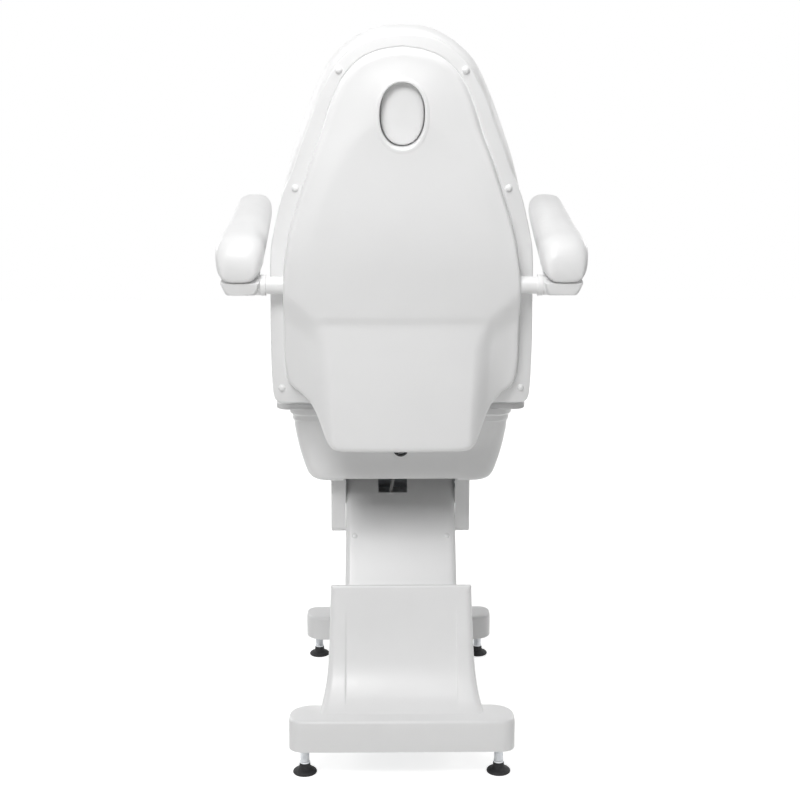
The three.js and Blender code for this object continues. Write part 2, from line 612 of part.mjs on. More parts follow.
function addLiftArm() {
  const arm = new THREE.Group();
  arm.position.set(0, LOWER_PIVOT.x, LOWER_PIVOT.y);
  arm.rotation.x = ARM_ANGLE * DEG;
  chair.add(arm);

  const bush = [-EAR_X + PLATE * 2, EAR_X - PLATE * 2];
  const inside = NECK_HALF_WIDTH - NECK_WALL - GAP;
  const start = new THREE.Vector2(0, 0);
  const end = new THREE.Vector2(ARM_LENGTH, 0);
  const lugShape = polygon([[LIFT_LUG.x - 24, 24], [LIFT_LUG.x + 24, 24],
    [LIFT_LUG.x + 26, LIFT_LUG.y], [LIFT_LUG.x + 18, LIFT_LUG.y - 12],
    [LIFT_LUG.x - 18, LIFT_LUG.y - 12], [LIFT_LUG.x - 26, LIFT_LUG.y]]);
  let frame = join(
    ...pair(ARM_PLATE_X, 6).map((x) => slab(capsule(start, end, 26), x)),
    barX(22, bush, 0, 0, 16),
    barX(22, bush, ARM_LENGTH, 0, 16),
    box([-inside, inside], [LIFT_LUG.x - 16, LIFT_LUG.x + 16], [10, 24]),
    box([-inside, inside], [ARM_LENGTH - 100, ARM_LENGTH - 70], [-24, -10]),
    ...pair(LUG_FORK_X, FORK).map((x) => slab(lugShape, x)));
  frame = cut(frame,
    boreX(PIVOT_PIN_RADIUS, [-EAR_X, EAR_X], 0, 0),
    boreX(PIVOT_PIN_RADIUS, [-EAR_X, EAR_X], ARM_LENGTH, 0),
    slotHole(TRUNNION_RADIUS + SLOT_PLAY, LIFT_LUG_SLOT, [-30, 30], LIFT_LUG.x, LIFT_LUG.y));
  add(arm, 'lift_arm_frame', frame, MATERIAL.frame);

  const sleeve = (inset) => beam(roundedRect([-NECK_HALF_WIDTH + inset, NECK_HALF_WIDTH - inset],
    [-NECK_FRONT + inset, NECK_REAR - inset], NECK_CORNER - inset),
  [NECK_START - inset, ARM_LENGTH + NECK_PAST_PIVOT + inset]);
  const shell = cut(sleeve(0), sleeve(NECK_WALL));
  const wide = [-NECK_HALF_WIDTH - 5, NECK_HALF_WIDTH + 5];
  const along = [NECK_START - 10, ARM_LENGTH + NECK_PAST_PIVOT + 10];
  // The sleeve's sides end short of the upper pins, so that the pins can pass.
  const sides = box(wide, [ARM_LENGTH - 30, along[1]], [-NECK_FRONT + 10, NECK_REAR - 10]);
  const notch = box([NECK_NOTCH.left, NECK_NOTCH.right], [NECK_NOTCH.start, along[1]],
    [NECK_REAR - 10, NECK_REAR + 5]);
  add(arm, 'neck_cover', cut(shell, box(wide, along, [-NECK_FRONT - 5, GAP / 2]), sides, notch),
    MATERIAL.shell);
  const mouth = box([-32, 32], [LIFT_LUG.x - 32, LIFT_LUG.x + 104], [-NECK_FRONT - 5, -NECK_FRONT + 10]);
  add(arm, 'neck_front_cover', cut(shell, box(wide, along, [-GAP / 2, NECK_REAR + 5]), sides, mouth),
    MATERIAL.shell);

  const under = NECK_REAR - NECK_WALL - CABLE_RADIUS - GAP;
  const middle = (NECK_NOTCH.left + NECK_NOTCH.right) / 2;
  const route = new THREE.CatmullRomCurve3([[100, -12], [180, 0], [260, 6], [340, -6], [418, 8]]
    .map(([s, x]) => new THREE.Vector3(middle + x, s, under)));
  const section = new THREE.Shape().absarc(0, 0, CABLE_RADIUS, 0, 2 * Math.PI);
  const cable = new THREE.ExtrudeGeometry(section, { extrudePath: route, steps: 18, curveSegments: 2 });
  add(arm, 'arm_cable', solid(cable), MATERIAL.cable);

  const link = new THREE.Group();
  link.position.set(0, LOWER_LINK.x, LOWER_LINK.y);
  link.rotation.x = ARM_ANGLE * DEG;
  chair.add(link);
  const bar = join(
    ...pair(LINK_X, 6).map((x) => slab(capsule(start, end, 13), x)),
    box([-LINK_X, LINK_X], [ARM_LENGTH / 2 - 25, ARM_LENGTH / 2 + 25], [-5, 5]));
  const across = [-LINK_X - 5, LINK_X + 5];
  add(link, 'tie_link', cut(bar, boreX(LINK_PIN_RADIUS, across, 0, 0),
    boreX(LINK_PIN_RADIUS, across, ARM_LENGTH, 0)), MATERIAL.frame);

  addActuator(chair, 'lift_actuator', LIFT_FOOT, alongArm(LIFT_LUG.x, LIFT_LUG.y), LIFT_CLOSED, 0, 1);
}

// ---------------------------------------------------------------- carriage

function addCarriage() {
  const p = UPPER_PIVOT.clone().sub(HEAD);
  const q = p.clone().add(LINK_OFFSET);
  const [t, c] = [TILT_PIVOT, TILT_FOOT];
  const side = polygon([[p.x - 26, p.y - 30], [c.x + 8, c.y - 38], [c.x + 22, c.y - 10],
    [c.x + 10, c.y + 46], [p.x + 50, p.y + 100], [t.x + 26, t.y + 18], [t.x - 8, t.y + 17],
    [t.x - 19, t.y - 8], [q.x - 38, q.y + 12], [q.x - 28, q.y - 18]]);
  const inner = EAR_X - PLATE / 2;
  const lug = polygon([[c.x - 12, c.y - 30], [c.x + 16, c.y - 30], [c.x + 12, c.y + 8],
    [c.x, c.y + 14], [c.x - 12, c.y + 8]]);
  let frame = join(
    ...pair(EAR_X).map((x) => slab(side, x)),
    box([-inner - 1, inner + 1], [p.x - 46, p.x + 24], [p.y + 96, p.y + 104]),
    box([-inner - 1, inner + 1], [c.x - 12, c.x + 16], [c.y - 36, c.y - 24]),
    ...pair(FOOT_FORK_X, FORK, TILT_X).map((x) => slab(lug, x)));
  const whole = [-EAR_X - PLATE, EAR_X + PLATE];
  frame = cut(frame,
    boreX(PIVOT_PIN_RADIUS, whole, p.x, p.y),
    boreX(LINK_PIN_RADIUS, whole, q.x, q.y),
    boreX(TILT_PIN_RADIUS, whole, t.x, t.y),
    boreX(TRUNNION_RADIUS, [TILT_X - 40, TILT_X + 40], c.x, c.y));
  add(head, 'carriage_frame', frame, MATERIAL.frame);
  add(head, 'upper_pivot_pin', barX(PIVOT_PIN_RADIUS, whole, p.x, p.y), MATERIAL.steel);
  add(head, 'link_pin_upper', barX(LINK_PIN_RADIUS, whole, q.x, q.y), MATERIAL.steel);
  const tiltX = RAIL_X - RAIL / 2 + PLATE + 4;
  add(head, 'seat_tilt_pin', barX(TILT_PIN_RADIUS, [-tiltX, tiltX], t.x, t.y), MATERIAL.steel);

  // Housing: two cheeks and a front wall, with narrow rear flanges beside the arm's sleeve.
  const w = CHEEK_HALF_WIDTH;
  const cheekZ = [CHEEK_BOTTOM, CHEEK_TOP];
  const outer = slab(roundedRect([CHEEK_REAR, CHEEK_FRONT], cheekZ, CHEEK_ROUND), [-w, w]);
  const inside = w - CHEEK_WALL;
  const hollow = box([-inside, inside], [CHEEK_REAR + CHEEK_WALL, CHEEK_FRONT - CHEEK_WALL],
    [CHEEK_BOTTOM - 5, CHEEK_TOP + 5]);
  const way = NECK_HALF_WIDTH + 4;
  const rear = box([-way, way], [CHEEK_REAR - 5, CHEEK_REAR + 10], [CHEEK_BOTTOM - 5, CHEEK_TOP + 5]);
  const posts = [-1, 1].map((hand) => {
    const x = [EAR_X + PLATE / 2 + GAP, inside + 1].map((v) => v * hand).sort((a, b) => a - b);
    return barX(9, x, p.x + 60, p.y + 40);
  });
  add(head, 'upper_housing', join(cut(outer, hollow, rear), ...posts), MATERIAL.shell);
  addActuator(head, 'tilt_actuator', TILT_FOOT, TILT_LUG, TILT_CLOSED, TILT_X, -1);
}

// ---------------------------------------------------------------- seat

function addSeatFrame() {
  const half = RAIL / 2;
  const z = [RAIL_TOP - RAIL, RAIL_TOP];
  const h = BACK_HINGE;
  const railX = (side) => [side * RAIL_X - half, side * RAIL_X + half];
  const crossY = [HULL_FRONT + 8, HULL_FRONT + 36];
  const tubes = [
    { x: railX(-1), y: [HULL_REAR + 10, crossY[1]], z, axis: 'y' },
    { x: railX(1), y: [HULL_REAR + 10, crossY[1]], z, axis: 'y' },
    { x: [-LEG_OUTER_X - 3, LEG_OUTER_X + 3], y: crossY, z: [z[0] + 2, z[1] - 1], axis: 'x' },
    { x: [-RAIL_X, RAIL_X], y: [TILT_LUG.x + 12, TILT_LUG.x + 37], z: [z[1] - 26, z[1] - 1], axis: 'x' },
  ];
  const earX = RAIL_X - half + PLATE / 2;
  const ear = polygon([[HULL_REAR + 50, z[0]], [h.x - 14, z[0]], [h.x - 17, h.y],
    [h.x - 12, h.y + 12], [h.x, h.y + 17], [h.x + 12, h.y + 12], [h.x + 17, h.y],
    [h.x + 17, z[1]], [HULL_REAR + 50, z[1]]]);
  const t = TILT_PIVOT;
  const tiltEar = polygon([[t.x - 40, z[0] + 4], [t.x - 16, t.y - 6], [t.x - 8, t.y - 16],
    [t.x + 8, t.y - 16], [t.x + 16, t.y - 6], [t.x + 40, z[0] + 4]]);
  const l = TILT_LUG;
  const tiltLug = polygon([[l.x - 13, l.y - 6], [l.x, l.y - 14], [l.x + 13, l.y - 6],
    [l.x + 36, z[1] - 26], [l.x + 36, z[1] - 4], [l.x + 12, z[1] - 4], [l.x - 13, l.y + 10]]);
  const b = BACK_FOOT;
  const backLug = polygon([[b.x - 13, b.y - 6], [b.x, b.y - 14], [b.x + 13, b.y - 6],
    [b.x + 20, z[1] - 4], [b.x - 20, z[1] - 4]]);
  const hinge = LEG_HINGE;
  const legEar = polygon([[crossY[0] + 4, z[0] + 2], [hinge.x, hinge.y - 15], [hinge.x + 12, hinge.y - 9],
    [hinge.x + 15, hinge.y], [hinge.x + 12, hinge.y + 9], [hinge.x, hinge.y + 15],
    [crossY[0] + 4, z[1] - 4]]);
  const plates = [
    ...pair(earX).map((x) => slab(ear, x)),
    ...pair(earX).map((x) => slab(tiltEar, x)),
    box([-RAIL_X, RAIL_X], [HULL_REAR + 20, HULL_REAR + 60], [z[1] - 6, z[1] - 1]),
    box([-RAIL_X, RAIL_X], [b.x - 32, b.x + 32], [z[1] - 6, z[1] - 1]),
    ...pair(LUG_FORK_X, FORK, TILT_X).map((x) => slab(tiltLug, x)),
    ...pair(FOOT_FORK_X, FORK).map((x) => slab(backLug, x)),
    ...pair(LEG_INNER_X + 4).map((x) => slab(legEar, x)),
    ...pair(LEG_OUTER_X - 4).map((x) => slab(legEar, x)),
  ];
  let frame = tubeFrame(tubes, TUBE_WALL, plates);
  const wide = [-LEG_OUTER_X - 10, LEG_OUTER_X + 10];
  frame = cut(frame,
    boreX(BACK_PIN_RADIUS, wide, h.x, h.y),
    boreX(TILT_PIN_RADIUS, wide, t.x, t.y),
    boreX(TRUNNION_RADIUS + SLOT_PLAY, [TILT_X - 30, TILT_X + 30], l.x, l.y),
    boreX(TRUNNION_RADIUS, [-40, 40], b.x, b.y),
    boreX(LEG_PIN_RADIUS, wide, hinge.x, hinge.y));
  add(head, 'seat_frame', frame, MATERIAL.frame);
  const pinX = earX + PLATE / 2 + 4;
  add(head, 'back_hinge_pin', barX(BACK_PIN_RADIUS, [-pinX, pinX], h.x, h.y), MATERIAL.steel);
  add(head, 'leg_hinge_pin', barX(LEG_PIN_RADIUS, [-LEG_OUTER_X - 3, LEG_OUTER_X + 3],
    hinge.x, hinge.y), MATERIAL.steel);
}

// Tub under the seat: a stepped rim, sides that draw in downwards and a rounded bottom edge.
function hullSolid(inset) {
  const drop = RAIL_TOP - HULL_BOTTOM;
  const levels = [
    [1, HULL_LIP_HALF_WIDTH, 0, 0, 46], [0.92, HULL_LIP_HALF_WIDTH, 0, 0, 46],
    [0.9, HULL_HALF_WIDTH + 4, 3, 2, 42], [0.83, HULL_HALF_WIDTH, 6, 6, 40],
    [0.6, HULL_HALF_WIDTH - 4, 22, 12, 40], [0.38, HULL_HALF_WIDTH - 13, 33, 20, 38],
    [0.17, HULL_HALF_WIDTH - 25, 38, 30, 36], [0.07, HULL_HALF_WIDTH - 34, 43, 42, 34],
    [0.015, HULL_HALF_WIDTH - 48, 54, 60, 30], [0, HULL_HALF_WIDTH - 66, 72, 80, 24],
  ];
  const rings = levels.map(([u, halfWidth, back, front, radius]) => {
    const w = halfWidth - inset;
    const z = HULL_BOTTOM + drop * u + (u === 1 ? inset * 2 : inset * (1 - u));
    return ring(z, [-w, w], [HULL_REAR + back + inset, HULL_FRONT - front - inset], radius - inset);
  });
  return solid(loft(rings));
}

function addSeatPieces() {
  const top = RAIL_TOP + 20;
  const way = CHEEK_HALF_WIDTH + 7;
  const railNotch = (side) => [side * RAIL_X - RAIL / 2 - 2, side * RAIL_X + RAIL / 2 + 2];
  const railWays = [-1, 1].map((side) =>
    box(railNotch(side), [HULL_REAR - 10, HULL_FRONT + 10], [RAIL_TOP - RAIL - 4, top]));
  const hull = cut(hullSolid(0), hullSolid(SKIN),
    box([-way, way], [HULL_REAR + 50, CHEEK_FRONT + 25], [HULL_BOTTOM - 5, HULL_BOTTOM + 20]),
    box([-36, 36], [HULL_REAR - 10, HULL_REAR + 60], [SOCKET_Z + 31, top]),
    barY(SOCKET_RADIUS + GAP, 0, [HULL_REAR, HULL_REAR + 70], SOCKET_Z, 16),
    ...railWays);
  add(head, 'seat_hull', hull, MATERIAL.shell);

  const boardY = [BOARD_REAR, BOARD_FRONT];
  const boardRing = (z, back) => ring(z, [-BOARD_HALF_WIDTH + back, BOARD_HALF_WIDTH - back],
    [boardY[0] + back, boardY[1] - back], 30 - back);
  add(head, 'seat_board', solid(loft([boardRing(BOARD_BOTTOM, 3), boardRing(BOARD_BOTTOM + 3, 0),
    boardRing(BOARD_BOTTOM + BOARD_THICK, 0)])), MATERIAL.board);

  const cushionRing = (z, back) => ring(CUSHION_BASE + z,
    [-SEAT_CUSHION_HALF_WIDTH + back, SEAT_CUSHION_HALF_WIDTH - back],
    [SEAT_CUSHION_REAR + back * 0.5, SEAT_CUSHION_FRONT - back], 46 - back * 0.5);
  const h = SEAT_CUSHION_HEIGHT;
  add(head, 'seat_cushion', solid(loft([cushionRing(0, 12), cushionRing(h * 0.15, 2),
    cushionRing(h * 0.4, 0), cushionRing(h * 0.7, 4), cushionRing(h * 0.9, 16),
    cushionRing(h, 42)])), MATERIAL.upholstery);

  add(head, 'rear_socket', cut(
    barY(SOCKET_RADIUS, 0, [HULL_REAR + 21, HULL_REAR + 50], SOCKET_Z, 16),
    barY(SOCKET_RADIUS - 5, 0, [HULL_REAR + 20, HULL_REAR + 34], SOCKET_Z)), MATERIAL.dark);
  const plateUnder = RAIL_TOP - 6 - GAP;
  add(head, 'control_box', slab(roundedRect([BACK_FOOT.x - 70, BACK_FOOT.x + 60],
    [plateUnder - 62, plateUnder], 6), [66, 128]), MATERIAL.dark);
  const leverPin = BACK_HINGE.clone().add(new THREE.Vector2(
    LEVER_LENGTH * Math.cos(LEVER_ANGLE * DEG), LEVER_LENGTH * Math.sin(LEVER_ANGLE * DEG)));
  addActuator(head, 'back_actuator', BACK_FOOT, leverPin, BACK_CLOSED, 0, 1);
}

// ---------------------------------------------------------------- back

// Right half of an outline through chosen points, from the top centre to the bottom centre.
const halfOutline = (points) => new THREE.CatmullRomCurve3(
  points.map(([u, s]) => new THREE.Vector3(u, s, 0)), false, 'centripetal');

const BODY_OUTLINE = halfOutline([[0, 810], [46, 803], [80, 789], [104, 769], [125, 742], [146, 698],
  [168, 633], [190, 578], [213, 511], [228, 465], [238, 431], [245, 401], [251, 367], [255, 344],
  [259, 282], [258, 213], [258, 120], [249, 72], [226, 52], [204, 32], [188, 5], [176, -22],
  [167, -41], [158, -52], [138, -58], [70, -60], [0, -60]]);
const FLANGE_OUTLINE = halfOutline([[0, 839], [50, 833], [85, 819], [119, 794], [142, 769],
  [159, 738], [178, 701], [195, 653], [214, 605], [231, 556], [254, 504], [268, 454], [275, 424],
  [282, 390], [285, 352], [287, 286], [290, 172], [289, 60], [286, 34], [278, 23], [262, 21],
  [230, 21], [150, 21], [0, 21]]);
const CUSHION_OUTLINE = halfOutline([[0, 847], [47, 843], [81, 831], [117, 809], [152, 775],
  [170, 741], [183, 707], [200, 661], [219, 612], [239, 558], [259, 489], [266, 420], [268, 320],
  [268, 200], [267, 90], [262, 50], [248, 28], [215, 20], [100, 20], [0, 20]]);
const HALF_SIDES = 21;

// Distance from the face hole's middle to an outline, in a given direction.
function reachTo(outline, angle) {
  const points = outline.getSpacedPoints(160);
  const direction = new THREE.Vector2(Math.cos(angle), Math.sin(angle));
  let reach = 0;
  for (let i = 0; i < points.length - 1; i++) {
    const a = new THREE.Vector2(points[i].x, points[i].y - HOLE_S);
    const b = new THREE.Vector2(points[i + 1].x, points[i + 1].y - HOLE_S);
    const [sideA, sideB] = [direction.cross(a), direction.cross(b)];
    if (sideA === sideB || sideA * sideB > 0) continue;
    const hit = a.clone().lerp(b, sideA / (sideA - sideB));
    reach = Math.max(reach, hit.dot(direction));
  }
  return reach;
}

// The directions in which all rings of the shell are cut: those of evenly spread points of the
// body's outline, seen from the face hole's middle.
const RAYS = BODY_OUTLINE.getSpacedPoints(HALF_SIDES).map((point) =>
  Math.atan2(point.y - HOLE_S, point.x));

// A whole ring: [distance, depth] for each direction, mirrored to the other side.
function shellRing(place) {
  const right = RAYS.map((angle, i) => {
    const [distance, n] = place(angle, i);
    return new THREE.Vector3(distance * Math.cos(angle), -n, HOLE_S + distance * Math.sin(angle));
  });
  right[0].x = 0;
  right[HALF_SIDES].x = 0;
  const left = right.slice(1, -1).reverse().map((p) => new THREE.Vector3(-p.x, p.y, p.z));
  return [...right, ...left];
}

// Depth of the shell's rear face: a shallow crowned body that is deeper from the armrests down,
// and the bulging plateau that runs out into the tongue below its crease.
function shellDepth(u, s) {
  const body = SHELL_TOP_N + (SHELL_SIDE_N - SHELL_TOP_N) * smooth((640 - s) / 280)
    + 5 * (1 - (u / 260) ** 2);
  const plateau = SHELL_SIDE_N + 6 + (PLATEAU_S - s) * Math.tan(PLATEAU_SLOPE * DEG);
  const across = smooth((252 - Math.abs(u)) / (252 - PLATEAU_HALF_WIDTH));
  const below = smooth((PLATEAU_S + 14 - s) / 30);
  return body + (Math.max(plateau, body) - body) * across * below;
}

function backShell() {
  const body = RAYS.map((angle) => reachTo(BODY_OUTLINE, angle));
  const flange = RAYS.map((angle, i) => Math.max(reachTo(FLANGE_OUTLINE, angle), body[i] + 1.5));
  const hole = (angle, grow) => {
    const [a, b] = [HOLE_HALF_WIDTH + grow, HOLE_HALF_HEIGHT + grow];
    return a * b / Math.hypot(b * Math.cos(angle), a * Math.sin(angle));
  };
  const depthAt = (distance, angle) =>
    shellDepth(distance * Math.cos(angle), HOLE_S + distance * Math.sin(angle));
  // On the tongue there is no flange: its edge is a lip that turns towards the seat.
  const tongue = flange.map((reach, i) => 1 - smooth((reach - body[i] - 1.5) / 12));
  const flangeN = (angle, i, n) => n + (depthAt(body[i], angle) - 26 - n) * tongue[i];

  const field = (t, inset, sink) => shellRing((angle, i) => {
    const start = hole(angle, 9);
    const distance = start + (body[i] - inset - start) * t;
    return [distance, depthAt(distance, angle) - sink];
  });
  const at = (offset, n) => shellRing((angle, i) => [body[i] + offset, n(angle, i)]);
  const outer = [
    shellRing((angle) => [hole(angle, 0), depthAt(hole(angle, 0), angle) - 13]),
    shellRing((angle) => [hole(angle, 0.6), depthAt(hole(angle, 0), angle) - 2]),
    shellRing((angle) => [hole(angle, 2.5), depthAt(hole(angle, 0), angle) + 0.6]),
    ...[0, 0.18, 0.42, 0.66, 0.86, 1].map((t) => field(t, 14, 0)),
    at(-6, (angle, i) => depthAt(body[i] - 8, angle) - 3),
    at(-1, (angle, i) => depthAt(body[i] - 8, angle) - 11),
    at(0.8, (angle, i) => flangeN(angle, i, FLANGE_N + 3)),
    shellRing((angle, i) => [Math.max(body[i] + 1.2, flange[i] - 3), flangeN(angle, i, FLANGE_N)]),
    shellRing((angle, i) => [flange[i], flangeN(angle, i, FLANGE_N - 3)]),
    shellRing((angle, i) => [flange[i], flangeN(angle, i, FLANGE_EDGE_N) - 4 * tongue[i]]),
  ];
  const inner = [
    shellRing((angle, i) => [flange[i] - SKIN, flangeN(angle, i, FLANGE_EDGE_N) - 4 * tongue[i]]),
    shellRing((angle, i) => [flange[i] - SKIN - 1, flangeN(angle, i, FLANGE_N - SKIN - 1)]),
    at(-SKIN, (angle, i) => flangeN(angle, i, FLANGE_N - SKIN - 0.5)),
    at(-SKIN - 2, (angle, i) => depthAt(body[i] - 8, angle) - 12 - SKIN),
    ...[1, 0.66, 0.3].map((t) => field(t, 18, SKIN)),
    shellRing((angle) => [hole(angle, SKIN + 1), depthAt(hole(angle, 0), angle) - SKIN - 1]),
    shellRing((angle) => [hole(angle, SKIN), depthAt(hole(angle, 0), angle) - 13]),
  ];
  const shell = solid(loft([...outer, ...inner], true));
  const posts = [];
  const ways = [];
  for (const side of [-1, 1]) {
    for (const s of [120, 520]) {
      const rail = BACK_RAIL_X * side;
      const tip = shellDepth(rail, s) - SKIN / 2;
      posts.push(barY(7, rail, [-tip, -(FLANGE_N + 10 + GAP)], s));
    }
    const way = [235, 300].map((x) => x * side).sort((a, b) => a - b);
    ways.push(barX(ARMREST_TUBE_RADIUS + 1.5, way, -ARMREST_N, ARMREST_S, 16));
  }
  return cut(join(shell, ...posts), ...ways);
}

function addBack() {
  const back = new THREE.Group();
  back.position.set(0, BACK_HINGE.x, BACK_HINGE.y);
  back.rotation.x = BACK_LEAN * DEG;
  head.add(back);

  // Frame: two rails behind the cushion, hinge tube, armrest sockets and the actuator's lever.
  const half = BACK_RAIL / 2;
  const railY = [-CUSHION_REAR_N - GAP - BACK_RAIL, -CUSHION_REAR_N - GAP];
  const railX = (side) => [side * BACK_RAIL_X - half, side * BACK_RAIL_X + half];
  const top = HOLE_S - HOLE_HALF_HEIGHT - 27;
  const tubes = [
    ...[-1, 1].map((side) => ({ x: railX(side), y: railY, z: [-10, top], axis: 'z' })),
    { x: [-BACK_RAIL_X, BACK_RAIL_X], y: railY, z: [top - 40, top - 15], axis: 'x' },
    { x: [-BACK_RAIL_X, BACK_RAIL_X], y: railY, z: [84, 109], axis: 'x' },
  ];
  const arm = polygon([[-12, -13], [railY[0] + 4, -13], [railY[0] + 4, 40], [railY[1] - 4, 40],
    [railY[1] - 4, 14], [10, 14], [14, 0], [8, -13]]);
  const hingeX = RAIL_X - RAIL / 2 - 0.5;
  const leverLocal = (LEVER_ANGLE - BACK_LEAN) * DEG;
  const leverTip = new THREE.Vector2(Math.cos(leverLocal), Math.sin(leverLocal)).multiplyScalar(LEVER_LENGTH);
  const slotHalf = leverTip.clone().setLength(LEVER_SLOT / 2);
  const lever = capsule(new THREE.Vector2(0, 0), leverTip.clone().add(slotHalf), LEVER_RADIUS);
  const leverSlot = capsule(leverTip.clone().sub(slotHalf), leverTip.clone().add(slotHalf),
    TRUNNION_RADIUS + SLOT_PLAY);
  const socketX = [BACK_RAIL_X - half + 2, 240];
  const mirrored = (x) => [-x[1], -x[0]];
  const plates = [
    ...[-1, 1].map((side) => slab(arm, [side * BACK_RAIL_X - 5, side * BACK_RAIL_X + 5])),
    barX(15, [-hingeX, hingeX], 0, 0),
    ...pair(LUG_FORK_X, FORK).map((x) => slab(lever, x)),
    barX(ARMREST_TUBE_RADIUS + 4, socketX, -ARMREST_N, ARMREST_S, 16),
    barX(ARMREST_TUBE_RADIUS + 4, mirrored(socketX), -ARMREST_N, ARMREST_S, 16),
  ];
  const bore = [BACK_RAIL_X + half - 2, 250];
  const frame = cut(tubeFrame(tubes, 2.5, plates),
    boreX(BACK_PIN_RADIUS, [-hingeX - 5, hingeX + 5], 0, 0),
    slab(leverSlot, [-30, 30]),
    boreX(ARMREST_TUBE_RADIUS, bore, -ARMREST_N, ARMREST_S, 16),
    boreX(ARMREST_TUBE_RADIUS, mirrored(bore), -ARMREST_N, ARMREST_S, 16));
  add(back, 'back_frame', frame, MATERIAL.frame);
  add(back, 'back_shell', backShell(), MATERIAL.shell);

  // Cushion: a crowned pad with the face hole through it.
  const cushionReach = RAYS.map((angle) => reachTo(CUSHION_OUTLINE, angle));
  const cushionRing = (n, inset) => shellRing((angle, i) => [cushionReach[i] - inset, n]);
  const f = CUSHION_FRONT_N;
  const r = CUSHION_REAR_N;
  const cushion = solid(loft([cushionRing(f, 46), cushionRing(f + 6, 20), cushionRing(f + 22, 5),
    cushionRing(f + 45, 0), cushionRing(r - 25, 0), cushionRing(r - 10, 5), cushionRing(r, 20)]));
  const oval = (n, grow) => {
    const points = [];
    for (let i = 0; i < HOLE_SIDES; i++) {
      const angle = i / HOLE_SIDES * 2 * Math.PI;
      points.push(new THREE.Vector3((HOLE_HALF_WIDTH + grow) * Math.cos(angle), -n,
        HOLE_S + (HOLE_HALF_HEIGHT + grow) * Math.sin(angle)));
    }
    return points;
  };
  add(back, 'back_cushion', cut(cushion, solid(loft([oval(f - 10, 1), oval(r + 10, 1)]))),
    MATERIAL.upholstery);

  // Plug of the face hole: a padded oval with a slimmer rear end.
  add(back, 'face_plug', solid(loft([oval(f + 3, -16), oval(f + 8, -4), oval(f + 20, 1 - GAP),
    oval(r - 4, 1 - GAP), oval(r, -3), oval(SHELL_TOP_N - 20, -3), oval(SHELL_TOP_N - 14, -8),
    oval(SHELL_TOP_N - 12, -20)])), MATERIAL.upholstery);

  for (const [side, name] of [[-1, 'left'], [1, 'right']]) addArmrest(back, side, name);
}

// ---------------------------------------------------------------- armrests

function addArmrest(back, side, name) {
  const armrest = new THREE.Group();
  armrest.position.set(0, -ARMREST_N, ARMREST_S);
  armrest.rotation.x = (ARMREST_TILT - BACK_LEAN) * DEG;
  back.add(armrest);
  const out = (x) => x.map((v) => v * side).sort((p, q) => p - q);
  // Pad: both edges draw in towards the front and its underside rises.
  const padAt = (y) => {
    const t = (y - PAD_REAR_Y) / (PAD_FRONT_Y - PAD_REAR_Y);
    const inner = PAD_INNER_X + PAD_FRONT_OUT * t;
    return {
      inner,
      outer: inner + PAD_REAR_WIDTH + (PAD_FRONT_WIDTH - PAD_REAR_WIDTH) * t,
      under: PAD_BOTTOM + (PAD_FRONT_BOTTOM - PAD_BOTTOM) * t,
    };
  };
  // The tube's end collar meets the housing's inner face.
  const collar = ARMREST_TUBE_RADIUS + 4;
  const tubeEnd = padAt(-collar).inner + HOUSING_INSET - GAP;
  add(armrest, `armrest_tube_${name}`, join(
    barX(ARMREST_TUBE_RADIUS, out([BACK_RAIL_X + BACK_RAIL / 2 + 8, tubeEnd]), 0, 0, 16),
    barX(collar, out([tubeEnd - 12, tubeEnd]), 0, 0, 16)),
  MATERIAL.shell);

  // Housing: tapered tray under the pad, wider at its top than at its bottom.
  const trayRing = (y, bottom, narrow) => {
    const { inner, outer, under } = padAt(y);
    const x = [inner + HOUSING_INSET + narrow, outer - 14 - narrow];
    return [[x[0], under - GAP], [x[1], under - GAP], [x[1] - 5, (under + bottom) / 2],
      [x[1] - 11, bottom + 3], [x[1] - 15, bottom], [x[0] + 12, bottom], [x[0] + 8, bottom + 3],
      [x[0] + 3, (under + bottom) / 2]].map(([px, pz]) => new THREE.Vector3(px * side, y, pz));
  };
  add(armrest, `armrest_housing_${name}`, solid(loft([
    trayRing(PAD_REAR_Y + 6, HOUSING_BOTTOM + 5, 4), trayRing(PAD_REAR_Y + 12, HOUSING_BOTTOM, 0),
    trayRing(30, HOUSING_BOTTOM, 0), trayRing(90, HOUSING_BOTTOM + 10, 0),
    trayRing(200, PAD_BOTTOM - 2, 2), trayRing(PAD_FRONT_Y - 40, PAD_FRONT_BOTTOM - 14, 6)])),
  MATERIAL.shell);

  const padRing = (y, shrink) => {
    const { inner, outer, under } = padAt(y);
    const section = roundedRect([inner + shrink, outer - shrink],
      [under + shrink * 0.4, PAD_TOP - shrink], 24 - shrink * 0.4);
    return section.getSpacedPoints(18).slice(0, -1).map((p) => new THREE.Vector3(p.x * side, y, p.y));
  };
  add(armrest, `armrest_pad_${name}`, solid(loft([
    padRing(PAD_REAR_Y, 16), padRing(PAD_REAR_Y + 5, 6), padRing(PAD_REAR_Y + 16, 0),
    padRing((PAD_REAR_Y + PAD_FRONT_Y) / 2, 0), padRing(PAD_FRONT_Y - 16, 0),
    padRing(PAD_FRONT_Y - 5, 6), padRing(PAD_FRONT_Y, 16)])), MATERIAL.upholstery);
}

// ---------------------------------------------------------------- leg rests

